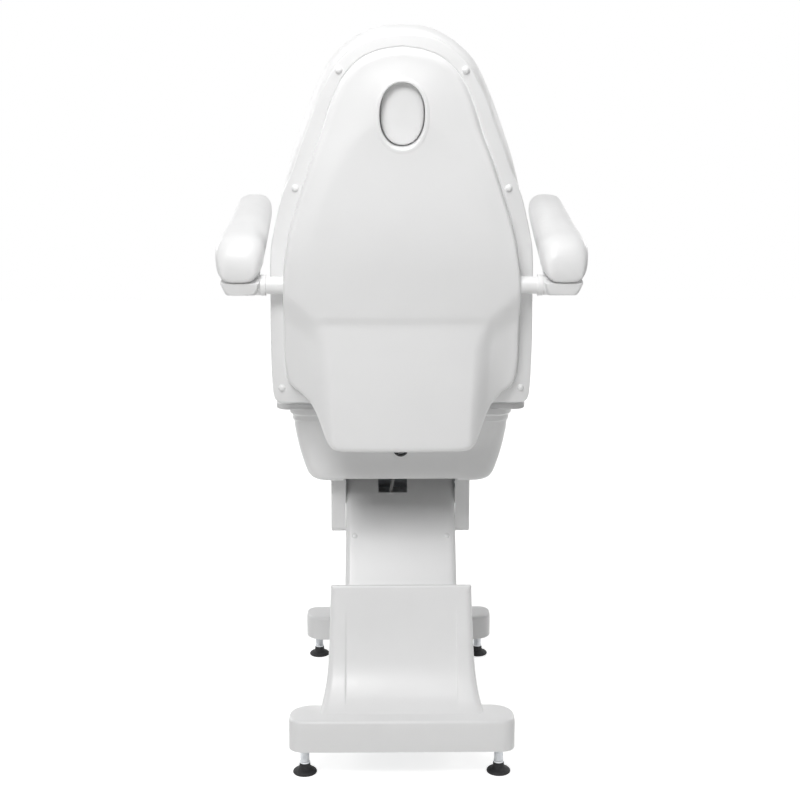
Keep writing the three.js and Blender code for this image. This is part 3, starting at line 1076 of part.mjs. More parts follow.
function addLegRest(side, name) {
  const leg = new THREE.Group();
  leg.position.set(0, LEG_HINGE.x, LEG_HINGE.y);
  leg.rotation.x = -LEG_DROOP * DEG;
  head.add(leg);
  const out = (x) => x.map((v) => v * side).sort((p, q) => p - q);
  const half = LEG_TUBE / 2;
  const middles = [LEG_INNER_X + 50, LEG_OUTER_X - 50];
  const tubes = middles.map((x) => ({
    x: out([x - half, x + half]), y: [4, LEG_TUBE_LENGTH], z: [-half, half], axis: 'y',
  }));
  const hingeX = out([LEG_INNER_X + PLATE + 0.5, LEG_OUTER_X - PLATE - 0.5]);
  const frame = cut(tubeFrame(tubes, 2, [barX(14, hingeX, 0, 0)]),
    boreX(LEG_PIN_RADIUS, [hingeX[0] - 1, hingeX[1] + 1], 0, 0));
  add(leg, `leg_frame_${name}`, frame, MATERIAL.frame);

  // Runners slide in the tubes and carry the tray and the cushion.
  const rod = half - 2 - GAP;
  const runners = join(
    ...middles.map((x) => box(out([x - rod, x + rod]), [60, LEG_LENGTH - 40], [-rod, rod])),
    box(out([middles[0] - half, middles[1] + half]), [LEG_LENGTH - 60, LEG_LENGTH - 40],
      [-rod, TRAY_BOTTOM - GAP]));
  add(leg, `leg_runner_${name}`, runners, MATERIAL.steel);

  const x = out([LEG_INNER_X, LEG_OUTER_X]);
  const level = (z, back, y0, y1, radius) =>
    ring(z, [x[0] + back, x[1] - back], [y0 + back, y1 - back], radius - back * 0.5);
  const y0 = LEG_CUSHION_START;
  const y1 = LEG_LENGTH;
  add(leg, `leg_tray_${name}`, solid(loft([level(TRAY_BOTTOM, 10, y0, y1, 34),
    level(TRAY_BOTTOM + 8, 2, y0, y1, 34), level(TRAY_BOTTOM + TRAY_THICK, 1, y0, y1, 34)])),
  MATERIAL.shell);
  const base = TRAY_BOTTOM + TRAY_THICK + GAP;
  const h = LEG_CUSHION_HEIGHT;
  add(leg, `leg_cushion_${name}`, solid(loft([level(base, 8, y0, y1, 40),
    level(base + h * 0.2, 0, y0, y1, 40), level(base + h * 0.7, 1, y0, y1, 40),
    level(base + h * 0.92, 10, y0, y1, 40), level(base + h, 32, y0, y1, 40)])), MATERIAL.upholstery);

  const pivot = new THREE.Vector2(70, 0);
  const grip = new THREE.Vector2(130, -34);
  const leverX = out([middles[1] + half + GAP, middles[1] + half + GAP + 6]);
  add(leg, `leg_lever_${name}`, join(
    slab(capsule(pivot, grip, 8), leverX),
    barX(9, out([middles[1] + half + GAP, middles[1] + half + 26]), grip.x, grip.y, 16)),
  MATERIAL.dark);
}

// ---------------------------------------------------------------- assembly

addFeet();
addBaseFrame();
addBaseCovers();
addLiftArm();
addCarriage();
addSeatFrame();
addSeatPieces();
addBack();
addLegRest(-1, 'left');
addLegRest(1, 'right');

// The origin lies under the middle of the chair's length, to the nearest millimetre.
const bounds = new THREE.Box3().setFromObject(chair, true);
chair.position.y = -Math.round((bounds.min.y + bounds.max.y) / 2);

export default chair;
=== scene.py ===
"""Looks of the electric pedicure and treatment chair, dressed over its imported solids.
Shapes are written in the millimetres of the chair's drawing and turned to metres as they are laid
out; +X is the sitter's right, +Y points to the toes, +Z is up."""

import math

import bmesh
import bpy
import numpy as np
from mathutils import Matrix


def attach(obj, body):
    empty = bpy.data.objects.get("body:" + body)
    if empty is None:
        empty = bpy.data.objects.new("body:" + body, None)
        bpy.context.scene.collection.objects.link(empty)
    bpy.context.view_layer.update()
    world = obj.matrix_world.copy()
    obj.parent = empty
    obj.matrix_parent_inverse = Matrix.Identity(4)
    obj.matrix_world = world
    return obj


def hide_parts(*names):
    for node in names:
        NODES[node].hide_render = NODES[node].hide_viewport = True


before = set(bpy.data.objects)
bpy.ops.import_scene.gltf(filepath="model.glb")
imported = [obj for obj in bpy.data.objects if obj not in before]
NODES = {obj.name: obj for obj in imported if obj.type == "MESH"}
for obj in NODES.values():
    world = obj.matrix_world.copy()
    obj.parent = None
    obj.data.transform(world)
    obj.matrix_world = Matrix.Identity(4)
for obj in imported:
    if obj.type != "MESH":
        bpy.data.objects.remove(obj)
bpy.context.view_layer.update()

# ---------------------------------------------------------------- the drawing's main sizes, mm

ROW_Y = -174.0                  # the drawing's Y to the row frame's
BACK_HINGE = (-215.0, 835.0)    # y, z
BACK_LEAN = math.radians(12)
HOLE_S, HOLE_A, HOLE_B = 675.0, 47.0, 67.5
ARM_PIVOT = (-235.0, 256.0)
ARM_ANGLE = math.radians(55)
ARMREST_S, ARMREST_N = 308.0, 86.5
ARMREST_TILT = math.radians(13)
LEG_HINGE = (318.0, 790.0)
LEG_DROOP = math.radians(17)
FOOT_X, FOOT_Y = 222.0, 380.0
SKIN = 4.0                      # wall of the mouldings
FINE_SKIN = 3.5                 # wall of the arm's sleeve
TURN = 2 * math.pi


def place(x, y, z):
    """Drawing coordinates to row-frame metres."""
    return np.stack(np.broadcast_arrays(x, np.asarray(y) + ROW_Y, z), -1) / 1000.0


def in_back(u, s, n):
    """Back's frame: u to the side, s up the back from its hinge, n out of its rear face."""
    sin, cos = math.sin(BACK_LEAN), math.cos(BACK_LEAN)
    n, s = np.asarray(n, float), np.asarray(s, float)
    return place(u, BACK_HINGE[0] - n * cos - s * sin, BACK_HINGE[1] + s * cos - n * sin)


def in_arm(x, s, n):
    """Lift arm's frame: s along it from the lower pivot, n out of its rear face."""
    sin, cos = math.sin(ARM_ANGLE), math.cos(ARM_ANGLE)
    n, s = np.asarray(n, float), np.asarray(s, float)
    return place(x, ARM_PIVOT[0] + s * cos - n * sin, ARM_PIVOT[1] + s * sin + n * cos)


def swung(origin, angle, x, y, z):
    """A frame turned about X at an origin (y, z): y along it, z up through it."""
    sin, cos = math.sin(angle), math.cos(angle)
    y, z = np.asarray(y, float), np.asarray(z, float)
    return place(x, origin[0] + y * cos - z * sin, origin[1] + y * sin + z * cos)


def in_armrest(x, y, z):
    """Armrest's frame: y along the pad from the swing axis, z up through it."""
    sin, cos = math.sin(BACK_LEAN), math.cos(BACK_LEAN)
    axis = (BACK_HINGE[0] - ARMREST_N * cos - ARMREST_S * sin,
            BACK_HINGE[1] + ARMREST_S * cos - ARMREST_N * sin)
    return swung(axis, ARMREST_TILT, x, y, z)


def in_leg(x, y, z):
    """Leg rest's frame: y along it from its hinge, z up through it."""
    return swung(LEG_HINGE, -LEG_DROOP, x, y, z)


# ---------------------------------------------------------------- shapes from numbers

def smooth(t):
    """Smoothstep: 0 below 0, 1 above 1, 3t^2 - 2t^3 between."""
    t = np.clip(t, 0.0, 1.0)
    return t * t * (3.0 - 2.0 * t)


def spline(points, count):
    """Centripetal Catmull-Rom curve: each span blends the cubic through its four nearest points,
    with knots a square root of their distance apart; returned evenly spaced by length."""
    p = np.asarray(points, float)
    p = np.vstack([2 * p[0] - p[1], p, 2 * p[-1] - p[-2]])
    knots = np.sqrt(np.linalg.norm(np.diff(p, axis=0), axis=1))
    runs = []
    for i in range(1, len(p) - 2):
        t = np.cumsum([0.0, knots[i - 1], knots[i], knots[i + 1]])
        x = np.linspace(t[1], t[2], 24)[:, None]
        a = [(t[k + 1] - x) / (t[k + 1] - t[k]) * p[i - 1 + k]
             + (x - t[k]) / (t[k + 1] - t[k]) * p[i + k] for k in range(3)]
        b = [(t[k + 2] - x) / (t[k + 2] - t[k]) * a[k]
             + (x - t[k]) / (t[k + 2] - t[k]) * a[k + 1] for k in range(2)]
        runs.append((t[2] - x) / (t[2] - t[1]) * b[0] + (x - t[1]) / (t[2] - t[1]) * b[1])
    return evenly(np.vstack(runs), count)


def evenly(points, count):
    """The same polyline with count points, evenly spaced by length."""
    step = np.linalg.norm(np.diff(points, axis=0), axis=1)
    keep = np.concatenate([[True], step > 1e-9])
    points = points[keep]
    length = np.concatenate([[0.0], np.cumsum(np.linalg.norm(np.diff(points, axis=0), axis=1))])
    at = np.linspace(0.0, length[-1], count)
    return np.stack([np.interp(at, length, points[:, k]) for k in range(points.shape[1])], -1)


def rounded(lines, reach, steps=5):
    """Rounds the inner corners of many polylines at once, along their second to last axis: each
    corner is replaced by the parabola that touches both sides reach away from it."""
    lines = np.asarray(lines, float)
    t = np.linspace(0.0, 1.0, steps)[:, None]
    parts = [lines[..., :1, :]]
    for k in range(lines.shape[-2] - 2):
        before, corner, after = (lines[..., k + m, :] for m in range(3))
        ends = []
        for side in (before - corner, after - corner):
            far = np.linalg.norm(side, axis=-1, keepdims=True)
            share = np.minimum(reach[k], 0.49 * far) / np.maximum(far, 1e-9)
            ends.append((corner + side * share)[..., None, :])
        parts.append((1 - t) ** 2 * ends[0] + 2 * t * (1 - t) * corner[..., None, :] + t ** 2 * ends[1])
    parts.append(lines[..., -1:, :])
    return np.concatenate(parts, axis=-2)


def plan_ring(x, y, radius, corner=8, side=10, front=None):
    """Rectangle with round corners, from its rear right one round: a quarter circle at each corner
    and evenly spread points along each side. The front corners may have a radius of their own."""
    (x0, x1), (y0, y1) = x, y
    most = min((x1 - x0) / 2, (y1 - y0) / 2) - 0.01
    turn = np.linspace(0.0, math.pi / 2, corner)
    runs = []
    for cx, cy, start in ((x1, y0, -0.5), (x1, y1, 0.0), (x0, y1, 0.5), (x0, y0, 1.0)):
        r = min(radius if cy == y0 or front is None else front, most)
        mx = cx - r if cx == x1 else cx + r
        my = cy - r if cy == y1 else cy + r
        angle = start * math.pi + turn
        runs.append(np.stack([mx + r * np.cos(angle), my + r * np.sin(angle)], -1))
    points = []
    for k in range(4):
        points.append(runs[k])
        a, b = runs[k][-1], runs[(k + 1) % 4][0]
        points.append(a + (b - a) * np.linspace(0, 1, side + 2)[1:-1, None])
    return np.vstack(points)


def at_height(flat, z):
    """A plan ring lifted to a height."""
    return np.column_stack([flat, np.full(len(flat), z)])


def lofted(rings, reach, steps):
    """Rings one above another, with the line from each to the next rounded at every ring."""
    return rounded(np.stack(rings, 1), reach, steps).swapaxes(0, 1)


def laid(net, frame_of=place):
    """A grid of (x, y, z) in a frame, as row-frame metres."""
    return frame_of(net[..., 0], net[..., 1], net[..., 2])


def rays(cos, sin, path):
    """Lines out of the face hole: along each ray, the path's (distance, depth) pairs."""
    return np.stack([np.stack([d * cos, HOLE_S + d * sin, n + 0 * d], -1) for d, n in path], 1)


def mesh_object(name, verts, faces):
    """A mesh object at the origin, with loose points dropped and faces outwards."""
    mesh = bpy.data.meshes.new(name)
    mesh.from_pydata(verts.reshape(-1, 3).tolist(), [], faces)
    work = bmesh.new()
    work.from_mesh(mesh)
    loose = [v for v in work.verts if not v.link_faces]
    bmesh.ops.delete(work, geom=loose, context="VERTS")
    bmesh.ops.recalc_face_normals(work, faces=work.faces)
    work.to_mesh(mesh)
    work.free()
    mesh.polygons.foreach_set("use_smooth", np.ones(len(mesh.polygons), bool))
    made = bpy.data.objects.new(name, mesh)
    bpy.context.scene.collection.objects.link(made)
    return made


def quads_of(rows, cols, around, along):
    """Corner numbers of the quads between a grid's points."""
    i = np.arange(rows if along else rows - 1)[:, None]
    j = np.arange(cols if around else cols - 1)[None, :]
    i2, j2 = (i + 1) % rows, (j + 1) % cols
    return np.stack([i * cols + j, i * cols + j2, i2 * cols + j2, i2 * cols + j], -1).reshape(-1, 4)


def skin(name, net, around=True, along=False, caps=(False, False), keep=None):
    """Quads over a grid of points. Rings follow each other on the first axis; around closes each
    ring, along joins the last ring to the first, caps fill the end rings, and keep(centres) says
    which quads stay."""
    rows, cols = net.shape[:2]
    quads = quads_of(rows, cols, around, along)
    if keep is not None:
        quads = quads[keep(net.reshape(-1, 3)[quads].mean(1))]
    faces = quads.tolist()
    for on, row in zip(caps, (0, rows - 1)):
        if on:
            faces.append(list(range(row * cols, (row + 1) * cols)))
    return mesh_object(name, net, faces)


def several(name, nets):
    """One mesh from several closed grids, each with its end rings filled."""
    verts, faces, start = [], [], 0
    for net in nets:
        rows, cols = net.shape[:2]
        faces += (quads_of(rows, cols, True, False) + start).tolist()
        for row in (0, rows - 1):
            faces.append(list(range(start + row * cols, start + (row + 1) * cols)))
        verts.append(net.reshape(-1, 3))
        start += rows * cols
    return mesh_object(name, np.vstack(verts), faces)


def eased(made, edge, angle=38):
    """Rounds the edges sharper than the angle by a few tenths of a millimetre to some millimetres."""
    round_off = made.modifiers.new("edges", "BEVEL")
    round_off.width = edge / 1000.0
    round_off.segments = 3
    round_off.limit_method = "ANGLE"
    round_off.angle_limit = math.radians(angle)
    round_off.harden_normals = True
    return made


def walled(made, wall, edge):
    """Gives an open skin its wall, inwards, and eases its edges; sizes in mm."""
    thick = made.modifiers.new("wall", "SOLIDIFY")
    thick.thickness = wall / 1000.0
    thick.offset = -1.0
    return eased(made, edge)


def turned(profile, reach, frame_of, sides=64, steps=4):
    """Body of revolution: a profile of (radius, height) with its corners rounded, turned around
    the height axis; frame_of turns (x, y, height) to its place."""
    line = rounded(np.asarray(profile, float), reach, steps)
    angle = np.linspace(0, TURN, sides, endpoint=False)
    x = line[:, 0, None] * np.cos(angle)
    y = line[:, 0, None] * np.sin(angle)
    return frame_of(x, y, line[:, 1, None] + 0 * x)


def wear(made, material):
    """Makes a material an object's only one."""
    made.data.materials.clear()
    made.data.materials.append(material)


def dress(made, material, body, slot, *nodes):
    """Gives a piece its material and the body it rides on, and hides the nodes it stands for. The slot
    is not used.
    """
    wear(made, material)
    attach(made, body)
    if nodes:
        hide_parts(*nodes)


# ---------------------------------------------------------------- materials

def linear(hexes):
    """An sRGB hex colour as linear RGBA."""
    srgb = np.array([int(hexes[k:k + 2], 16) for k in (0, 2, 4)]) / 255.0
    rgb = np.where(srgb <= 0.04045, srgb / 12.92, ((srgb + 0.055) / 1.055) ** 2.4)
    return (*rgb.tolist(), 1.0)


def add(tree, kind, inputs=None, **settings):
    """One node with its settings; inputs maps a socket to a value or to another node's output."""
    made = tree.nodes.new(kind)
    for name, value in settings.items():
        setattr(made, name, value)
    for socket, value in (inputs or {}).items():
        if isinstance(value, bpy.types.NodeSocket):
            tree.links.new(value, made.inputs[socket])
        else:
            made.inputs[socket].default_value = value
    return made


def sum_of(tree, operation, a, b=0.5):
    """Result of a sum on one or two numbers."""
    return add(tree, "ShaderNodeMath", {0: a, 1: b}, operation=operation).outputs[0]


def ramp(tree, value, start, end, low=0.0, high=1.0):
    """A number that runs from low to high as the value goes from start to end, and stays there."""
    return add(tree, "ShaderNodeMapRange", {
        "Value": value, "From Min": start, "From Max": end, "To Min": low, "To Max": high}
    ).outputs["Result"]


def noise(tree, where, size_mm, detail=3.0, stretch=(1, 1, 1)):
    """Noise whose features are size_mm across, drawn out along an axis where stretch is over 1."""
    scale = [1000.0 / size_mm / s for s in stretch]
    moved = add(tree, "ShaderNodeMapping", {"Vector": where, "Scale": scale})
    return add(tree, "ShaderNodeTexNoise", {
        "Vector": moved.outputs["Vector"], "Scale": 1.0, "Detail": detail}).outputs["Fac"]


def between(tree, fac, low, high):
    """A number that runs from low to high as fac goes over the middle of its range."""
    return ramp(tree, fac, 0.3, 0.7, low, high)


def blend_colour(tree, fac, a, b):
    """Colour between two hex values or a colour output and a hex value."""
    first = linear(a) if isinstance(a, str) else a
    mixed = add(tree, "ShaderNodeMix", {0: fac, 6: first, 7: linear(b)}, data_type="RGBA")
    return mixed.outputs[2]


def bump(tree, height, depth_mm, strength=1.0, under=None):
    """Surface relief of a real depth, over another relief if one is given."""
    inputs = {"Height": height, "Distance": depth_mm / 1000.0, "Strength": strength}
    if under is not None:
        inputs["Normal"] = under
    return add(tree, "ShaderNodeBump", inputs).outputs["Normal"]


def start_surface(name, tone, colours, gloss):
    """An empty material with its shader and object coordinates: tone is the noise that blends its
    two colours, gloss the noise that spreads its roughness and the two roughnesses."""
    material = bpy.data.materials.new(name)
    material.use_nodes = True
    tree = material.node_tree
    tree.nodes.clear()
    shader = add(tree, "ShaderNodeBsdfPrincipled")
    add(tree, "ShaderNodeOutputMaterial", {"Surface": shader.outputs["BSDF"]})
    where = add(tree, "ShaderNodeTexCoord").outputs["Object"]
    colour = blend_colour(tree, between(tree, noise(tree, where, *tone), 0, 1), *colours)
    patches, low, high = gloss
    rough = between(tree, noise(tree, where, *patches), low, high)
    return material, tree, shader, where, colour, rough


def fill(tree, shader, colour, rough, relief, **plain):
    """Links the patterns to the shader and sets its even values on its own sockets."""
    for socket, source in (("Base Color", colour), ("Roughness", rough), ("Normal", relief)):
        tree.links.new(source, shader.inputs[socket])
    for socket, value in plain.items():
        shader.inputs[socket.replace("_", " ")].default_value = value


def surface(name, tone, colours, gloss, *reliefs, **plain):
    """A whole material; each relief is its noise, its depth in mm and its strength, over the last."""
    material, tree, shader, where, colour, rough = start_surface(name, tone, colours, gloss)
    normal = None
    for grain, depth, strength in reliefs:
        normal = bump(tree, noise(tree, where, *grain), depth, strength, normal)
    fill(tree, shader, colour, rough, normal, **plain)
    return material


def leather_cloth(name, dark, light, gloss, dull, stitched=True):
    """White polyurethane leather cloth, embossed and stretched over foam: pebble grain about
    1.4 mm across, soft stretch wrinkles, and lockstitches 4 mm long beside each sewn seam. The
    mesh gives seam, the distance to the nearest seam in mm, and along, the length along it."""
    material, tree, shader, where, colour, rough = start_surface(
        name, (90, 3), (dark, light), ((12, 4), gloss, dull))
    pebble = add(tree, "ShaderNodeTexVoronoi", {
        "Vector": where, "Scale": 1000 / 1.4, "Randomness": 0.9}, feature="SMOOTH_F1")
    wrinkle = bump(tree, noise(tree, where, 24, 3, (1, 1, 1.6)), 0.35, 0.35)
    grain = bump(tree, pebble.outputs["Distance"], 0.12, 0.45, wrinkle)
    if stitched:
        seam, along = (add(tree, "ShaderNodeAttribute", attribute_name=kept).outputs["Fac"]
                       for kept in ("seam", "along"))
        near = sum_of(tree, "ABSOLUTE", sum_of(tree, "SUBTRACT", seam, 3.2))
        wave = sum_of(tree, "SINE", sum_of(tree, "MULTIPLY", along, TURN / 4.0))
        thread = sum_of(tree, "MULTIPLY", ramp(tree, near, 0.35, 0.75, 1.0, 0.0),
                        ramp(tree, wave, -0.5, -0.2))
        colour = blend_colour(tree, thread, colour, "DCDCDC")
        grain = bump(tree, thread, 0.5, 0.9, grain)
    fill(tree, shader, colour, rough, grain, IOR=1.5, Sheen_Weight=0.12, Sheen_Roughness=0.4)
    return material


# White ABS, vacuum formed over a smooth tool: glossy, a soft sheet waviness about 90 mm long, a
# fine orange peel and faint handling marks that dull it in patches.
ABS = surface("vacuum_formed_white_abs", (220, 2), ("F2F2F2", "F5F5F5"), ((60, 3), 0.28, 0.32),
              ((90, 1), 0.25, 0.4), ((2.4, 2), 0.010, 0.5), IOR=1.54)
# White ABS of the base's covers, moulded thicker: a little less glossy and a shade lighter.
BASE_ABS = surface("injection_moulded_white_abs", (180, 2), ("F3F3F3", "F6F6F6"),
                   ((45, 5), 0.30, 0.37), ((1.1, 2), 0.012, 0.6), IOR=1.53)
LEATHER = leather_cloth("embossed_white_pu_leather_cloth", "EFEFEF", "F5F5F5", 0.44, 0.58)
PAD_LEATHER = leather_cloth("stretched_white_pu_leather_cloth", "F0F0F0", "F6F6F6", 0.32, 0.42, False)
# Black moulded rubber of the levelling feet: matt, a little grey where it scuffs, with a
# half-millimetre mould grain.
RUBBER = surface("moulded_black_rubber", (9, 5), ("1E1E20", "2C2C2E"), ((4, 3), 0.62, 0.82),
                 ((0.5, 2), 0.05, 0.7), IOR=1.52)
# Zinc-plated turned steel of stems and pins: bright, with turning marks around it about 0.6 mm
# apart and cloudy plating.
PLATED = surface("turned_zinc_plated_steel", (14, 4), ("BFC2C6", "D6D8DA"), ((5, 4), 0.26, 0.42),
                 ((0.6, 2, (12, 12, 1)), 0.02, 0.5), Metallic=1.0)
# Cold-drawn zinc-plated bar of rods and runners: fine draw lines along it.
DRAWN = surface("cold_drawn_zinc_plated_steel", (20, 4), ("B9BCC0", "CFD1D4"),
                ((7, 4, (1, 6, 1)), 0.24, 0.4), ((0.5, 2, (1, 30, 1)), 0.015, 0.5), Metallic=1.0)
# Light grey powder coat on welded steel: half gloss, its peel about 1.5 mm across.
POWDER = surface("powder_coated_steel", (60, 3), ("B3B6BA", "BDC0C4"), ((10, 4), 0.4, 0.52),
                 ((1.5, 2), 0.04, 0.6), IOR=1.5)
# Black glass-filled nylon of the actuators and levers: satin, fibre flecks under a millimetre long.
NYLON = surface("glass_filled_black_nylon", (0.9, 4, (1, 3, 1)), ("222325", "2E2F31"),
                ((3, 4), 0.42, 0.6), ((0.7, 3), 0.03, 0.6), IOR=1.53)
# White melamine-faced seat board: satin paper grain, lines about 2 mm apart along X.
BOARD = surface("melamine_faced_board", (6, 4, (12, 1, 1)), ("E0E0E0", "EBEBEB"),
                ((8, 3), 0.42, 0.55), ((2, 3, (14, 1, 1)), 0.03, 0.5), IOR=1.5)
# Pale grey PVC cable sheath: satin, with a slight lengthwise drag in its skin.
CABLE = surface("extruded_grey_pvc", (12, 3), ("C9C9C7", "DADAD8"), ((3, 3), 0.4, 0.55),
                ((0.8, 2, (1, 8, 8)), 0.02, 0.5), IOR=1.53)

CARRIED_OVER = {
    POWDER: ("base_frame", "lift_arm_frame", "tie_link", "carriage_frame", "seat_frame",
             "back_frame", "leg_frame_left", "leg_frame_right"),
    PLATED: ("lower_pivot_pin", "link_pin_lower", "upper_pivot_pin", "link_pin_upper",
             "seat_tilt_pin", "back_hinge_pin", "leg_hinge_pin"),
    DRAWN: ("lift_actuator_rod", "tilt_actuator_rod", "back_actuator_rod", "leg_runner_left",
            "leg_runner_right"),
    NYLON: ("lift_actuator_body", "tilt_actuator_body", "back_actuator_body", "control_box",
            "leg_lever_left", "leg_lever_right"),
    CABLE: ("arm_cable",),
}
for finish, names in CARRIED_OVER.items():
    for name in names:
        wear(NODES[name], finish)


# ---------------------------------------------------------------- the back's shell

BODY_OUTLINE = [(0, 810), (46, 803), (80, 789), (104, 769), (125, 742), (146, 698), (168, 633),
                (190, 578), (213, 511), (228, 465), (238, 431), (245, 401), (251, 367), (255, 344),
                (259, 282), (258, 213), (258, 120), (249, 72), (226, 52), (204, 32), (188, 5),
                (176, -22), (167, -41), (158, -52), (138, -58), (70, -60), (0, -60)]
FLANGE_OUTLINE = [(0, 839), (50, 833), (85, 819), (119, 794), (142, 769), (159, 738), (178, 701),
                  (195, 653), (214, 605), (231, 556), (254, 504), (268, 454), (275, 424),
                  (282, 390), (285, 352), (287, 286), (290, 172), (289, 60), (286, 34), (278, 23),
                  (262, 21), (230, 21), (150, 21), (0, 21)]
CUSHION_OUTLINE = [(0, 847), (47, 843), (81, 831), (117, 809), (152, 775), (170, 741), (183, 707),
                   (200, 661), (219, 612), (239, 558), (259, 489), (266, 420), (268, 320),
                   (268, 200), (267, 90), (262, 50), (248, 28), (215, 20), (100, 20), (0, 20)]
FLANGE_N, FLANGE_EDGE_N = 65.0, 52.6
GROOVE_DEPTH, FLANGE_SLOPE = 1.8, 5.2
TOP_N, SIDE_N, CROWN = 92.0, 114.0, 5.0
DOME_REACH, DOME_LOW_FALL, DOME_TOP_FALL = 135.0, 8.0, 14.0
POCKET_DEPTH, POCKET_SLOPE = 12.0, 0.085
RIDGE_RISE, RIDGE_SLOPE = 14.0, 0.89
PLATEAU_HALF_WIDTH, PLATEAU_S, PLATEAU_SLOPE = 185.0, 223.0, math.radians(10)
PLATEAU_SIDE, CREASE_DIP = 62.0, 3.5
HOLE_POWER = 2.22
RIM_DEPTH = 43.0
SCREWS = ((131, 764), (227, 516), (268, 59))


def directions(outline, count):
    """Directions from the face hole's middle to the points of a mirrored outline, from its top
    down the right and up the left."""
    line = spline(outline, count)
    right = np.arctan2(line[:, 1] - HOLE_S, line[:, 0])
    right[0], right[-1] = math.pi / 2, -math.pi / 2
    return np.concatenate([right, (math.pi - right[1:-1])[::-1]])


def reach_of(outline, angle):
    """Distance from the face hole's middle to a mirrored outline, in each direction."""
    line = spline(outline, 900)
    line = np.vstack([line, line[::-1] * (-1, 1)]) - (0, HOLE_S)
    at = np.arctan2(line[:, 1], line[:, 0])
    order = np.argsort(at)
    return np.interp(angle, at[order], np.hypot(line[:, 0], line[:, 1])[order], period=TURN)


def oval(angle, grow=0.0):
    """Radius of the face hole in a direction: a superellipse, a little squarer than an ellipse."""
    across = np.abs(np.cos(angle)) / (HOLE_A + grow)
    up = np.abs(np.sin(angle)) / (HOLE_B + grow)
    return (across ** HOLE_POWER + up ** HOLE_POWER) ** (-1 / HOLE_POWER)


def soft_over(value, radius):
    """A value where it is over 0 and 0 below, with the bend between eased as a hyperbola."""
    return (value + np.hypot(value, radius)) / 2


def shell_depth(u, s):
    """Depth of the shell's rear face: a crowned body that domes down to its edge near the top and
    grows deeper from the armrests down. A ridge runs in and down from each armrest; below it the
    face falls back in a pocket. Between the pockets a plateau leans out below its crease and runs
    into the tongue, and its sides fall to the pockets in a hollow curve, steepest at the top."""
    body = TOP_N + (SIDE_N - TOP_N) * smooth((640 - s) / 280) + CROWN * (1 - (u / 260) ** 2)
    inward = reach_of(BODY_OUTLINE, np.arctan2(s - HOLE_S, u)) - np.hypot(u, s - HOLE_S)
    fall = DOME_LOW_FALL * smooth((s - 330) / 160) + DOME_TOP_FALL * smooth((s - 540) / 220)
    body = body - fall * (1 - smooth(inward / DOME_REACH)) ** 1.5
    wide = PLATEAU_HALF_WIDTH - 8 * smooth((PLATEAU_S - s) / 260)
    hollow = np.clip(soft_over(np.abs(u) - wide, 9.0) / PLATEAU_SIDE, 0, 1)
    beside = hollow * (2 - hollow)
    outside = smooth((np.abs(u) - wide + 30) / 44)
    ridge = PLATEAU_S + RIDGE_RISE + RIDGE_SLOPE * np.clip(np.abs(u) - 187, -20, 80)
    under = ridge - s
    pocket = POCKET_DEPTH * smooth((under + 12) / 84) + POCKET_SLOPE * soft_over(under, 20)
    dip = CREASE_DIP * smooth((PLATEAU_S + 24 - s) / 24) * (1 - outside)
    lean = soft_over((PLATEAU_S - s) * math.tan(PLATEAU_SLOPE), 1.2)
    return body - dip - pocket * outside + lean * (1 - beside)


def back_shell():
    """Closed surface on rays out of the face hole: along each ray the section runs out of the
    hole's rolled rim, over the body, down its side, over the flange and its turned-in edge, and
    back inside one wall lower. A fine groove parts the body from the flange, which slopes a little
    outwards. Corners are eased to the radii of the moulding."""
    angle = directions(BODY_OUTLINE, 221)
    body = reach_of(BODY_OUTLINE, angle)
    flange = np.maximum(reach_of(FLANGE_OUTLINE, angle), body + 1.5)
    cos, sin = np.cos(angle), np.sin(angle)
    tongue = 1 - smooth((flange - body - 1.5) / 12)
    groove = smooth((flange - body - 6) / 6)

    def depth(distance):
        return shell_depth(distance * cos, HOLE_S + distance * sin)

    def flange_n(n):
        return n + (depth(body) - 26 - n) * tongue

    start, rim, edge = oval(angle, 11), depth(oval(angle)), depth(body - 8)
    brim = oval(angle, 9.5)
    outer = [(oval(angle), rim - RIM_DEPTH), (oval(angle, 0.3), rim + 0.4),
             (oval(angle, 5.5), rim + 1.6), (brim, depth(brim))]
    outer += [(d, depth(d)) for d in (start + (body - 16 - start) * t for t in np.linspace(0, 1, 72))]
    low, turned_in = FLANGE_N - GROOVE_DEPTH * groove, flange_n(FLANGE_EDGE_N) - 4 * tongue
    outer += [(body - 4, edge - 1.2), (body + 0.6, flange_n(low)),
              (body + 0.7 + 2.2 * groove, flange_n(low)),
              (body + 0.9 + 3.2 * groove, flange_n(FLANGE_N)),
              (body + 1.0 + 4.8 * groove, flange_n(FLANGE_N)),
              (np.maximum(body + 1.2, flange) - 4.4 * groove,
               flange_n(FLANGE_N - (FLANGE_SLOPE - 1) * groove)),
              (np.maximum(body + 1.25, flange), flange_n(FLANGE_N - FLANGE_SLOPE * groove)),
              (np.maximum(body + 1.4, flange + 0.4), turned_in)]
    inner = [(flange - SKIN, turned_in),
             (flange - SKIN - 1, flange_n(FLANGE_N - SKIN - 1) - 5 * groove),
             (body - SKIN, flange_n(FLANGE_N - SKIN - 0.5)), (body - SKIN - 2, edge - 12 - SKIN)]
    inner += [(d, depth(d) - SKIN)
              for d in (start + (body - 18 - start) * t for t in np.linspace(1, 0.05, 16))]
    inner += [(oval(angle, SKIN + 1), rim - SKIN - 1), (oval(angle, SKIN), rim - RIM_DEPTH)]
    easing = [1.6, 2.4, 2.0] + [1.0] * 72 + [4.0, 0.9, 0.8, 0.6, 0.4, 0.4, 2.6]
    net = np.concatenate([rounded(rays(cos, sin, outer), easing, 2), rays(cos, sin, inner)], 1)
    return skin("back_shell_moulding", laid(net, in_back), along=True)


dress(back_shell(), ABS, "back", "shell", "back_shell")


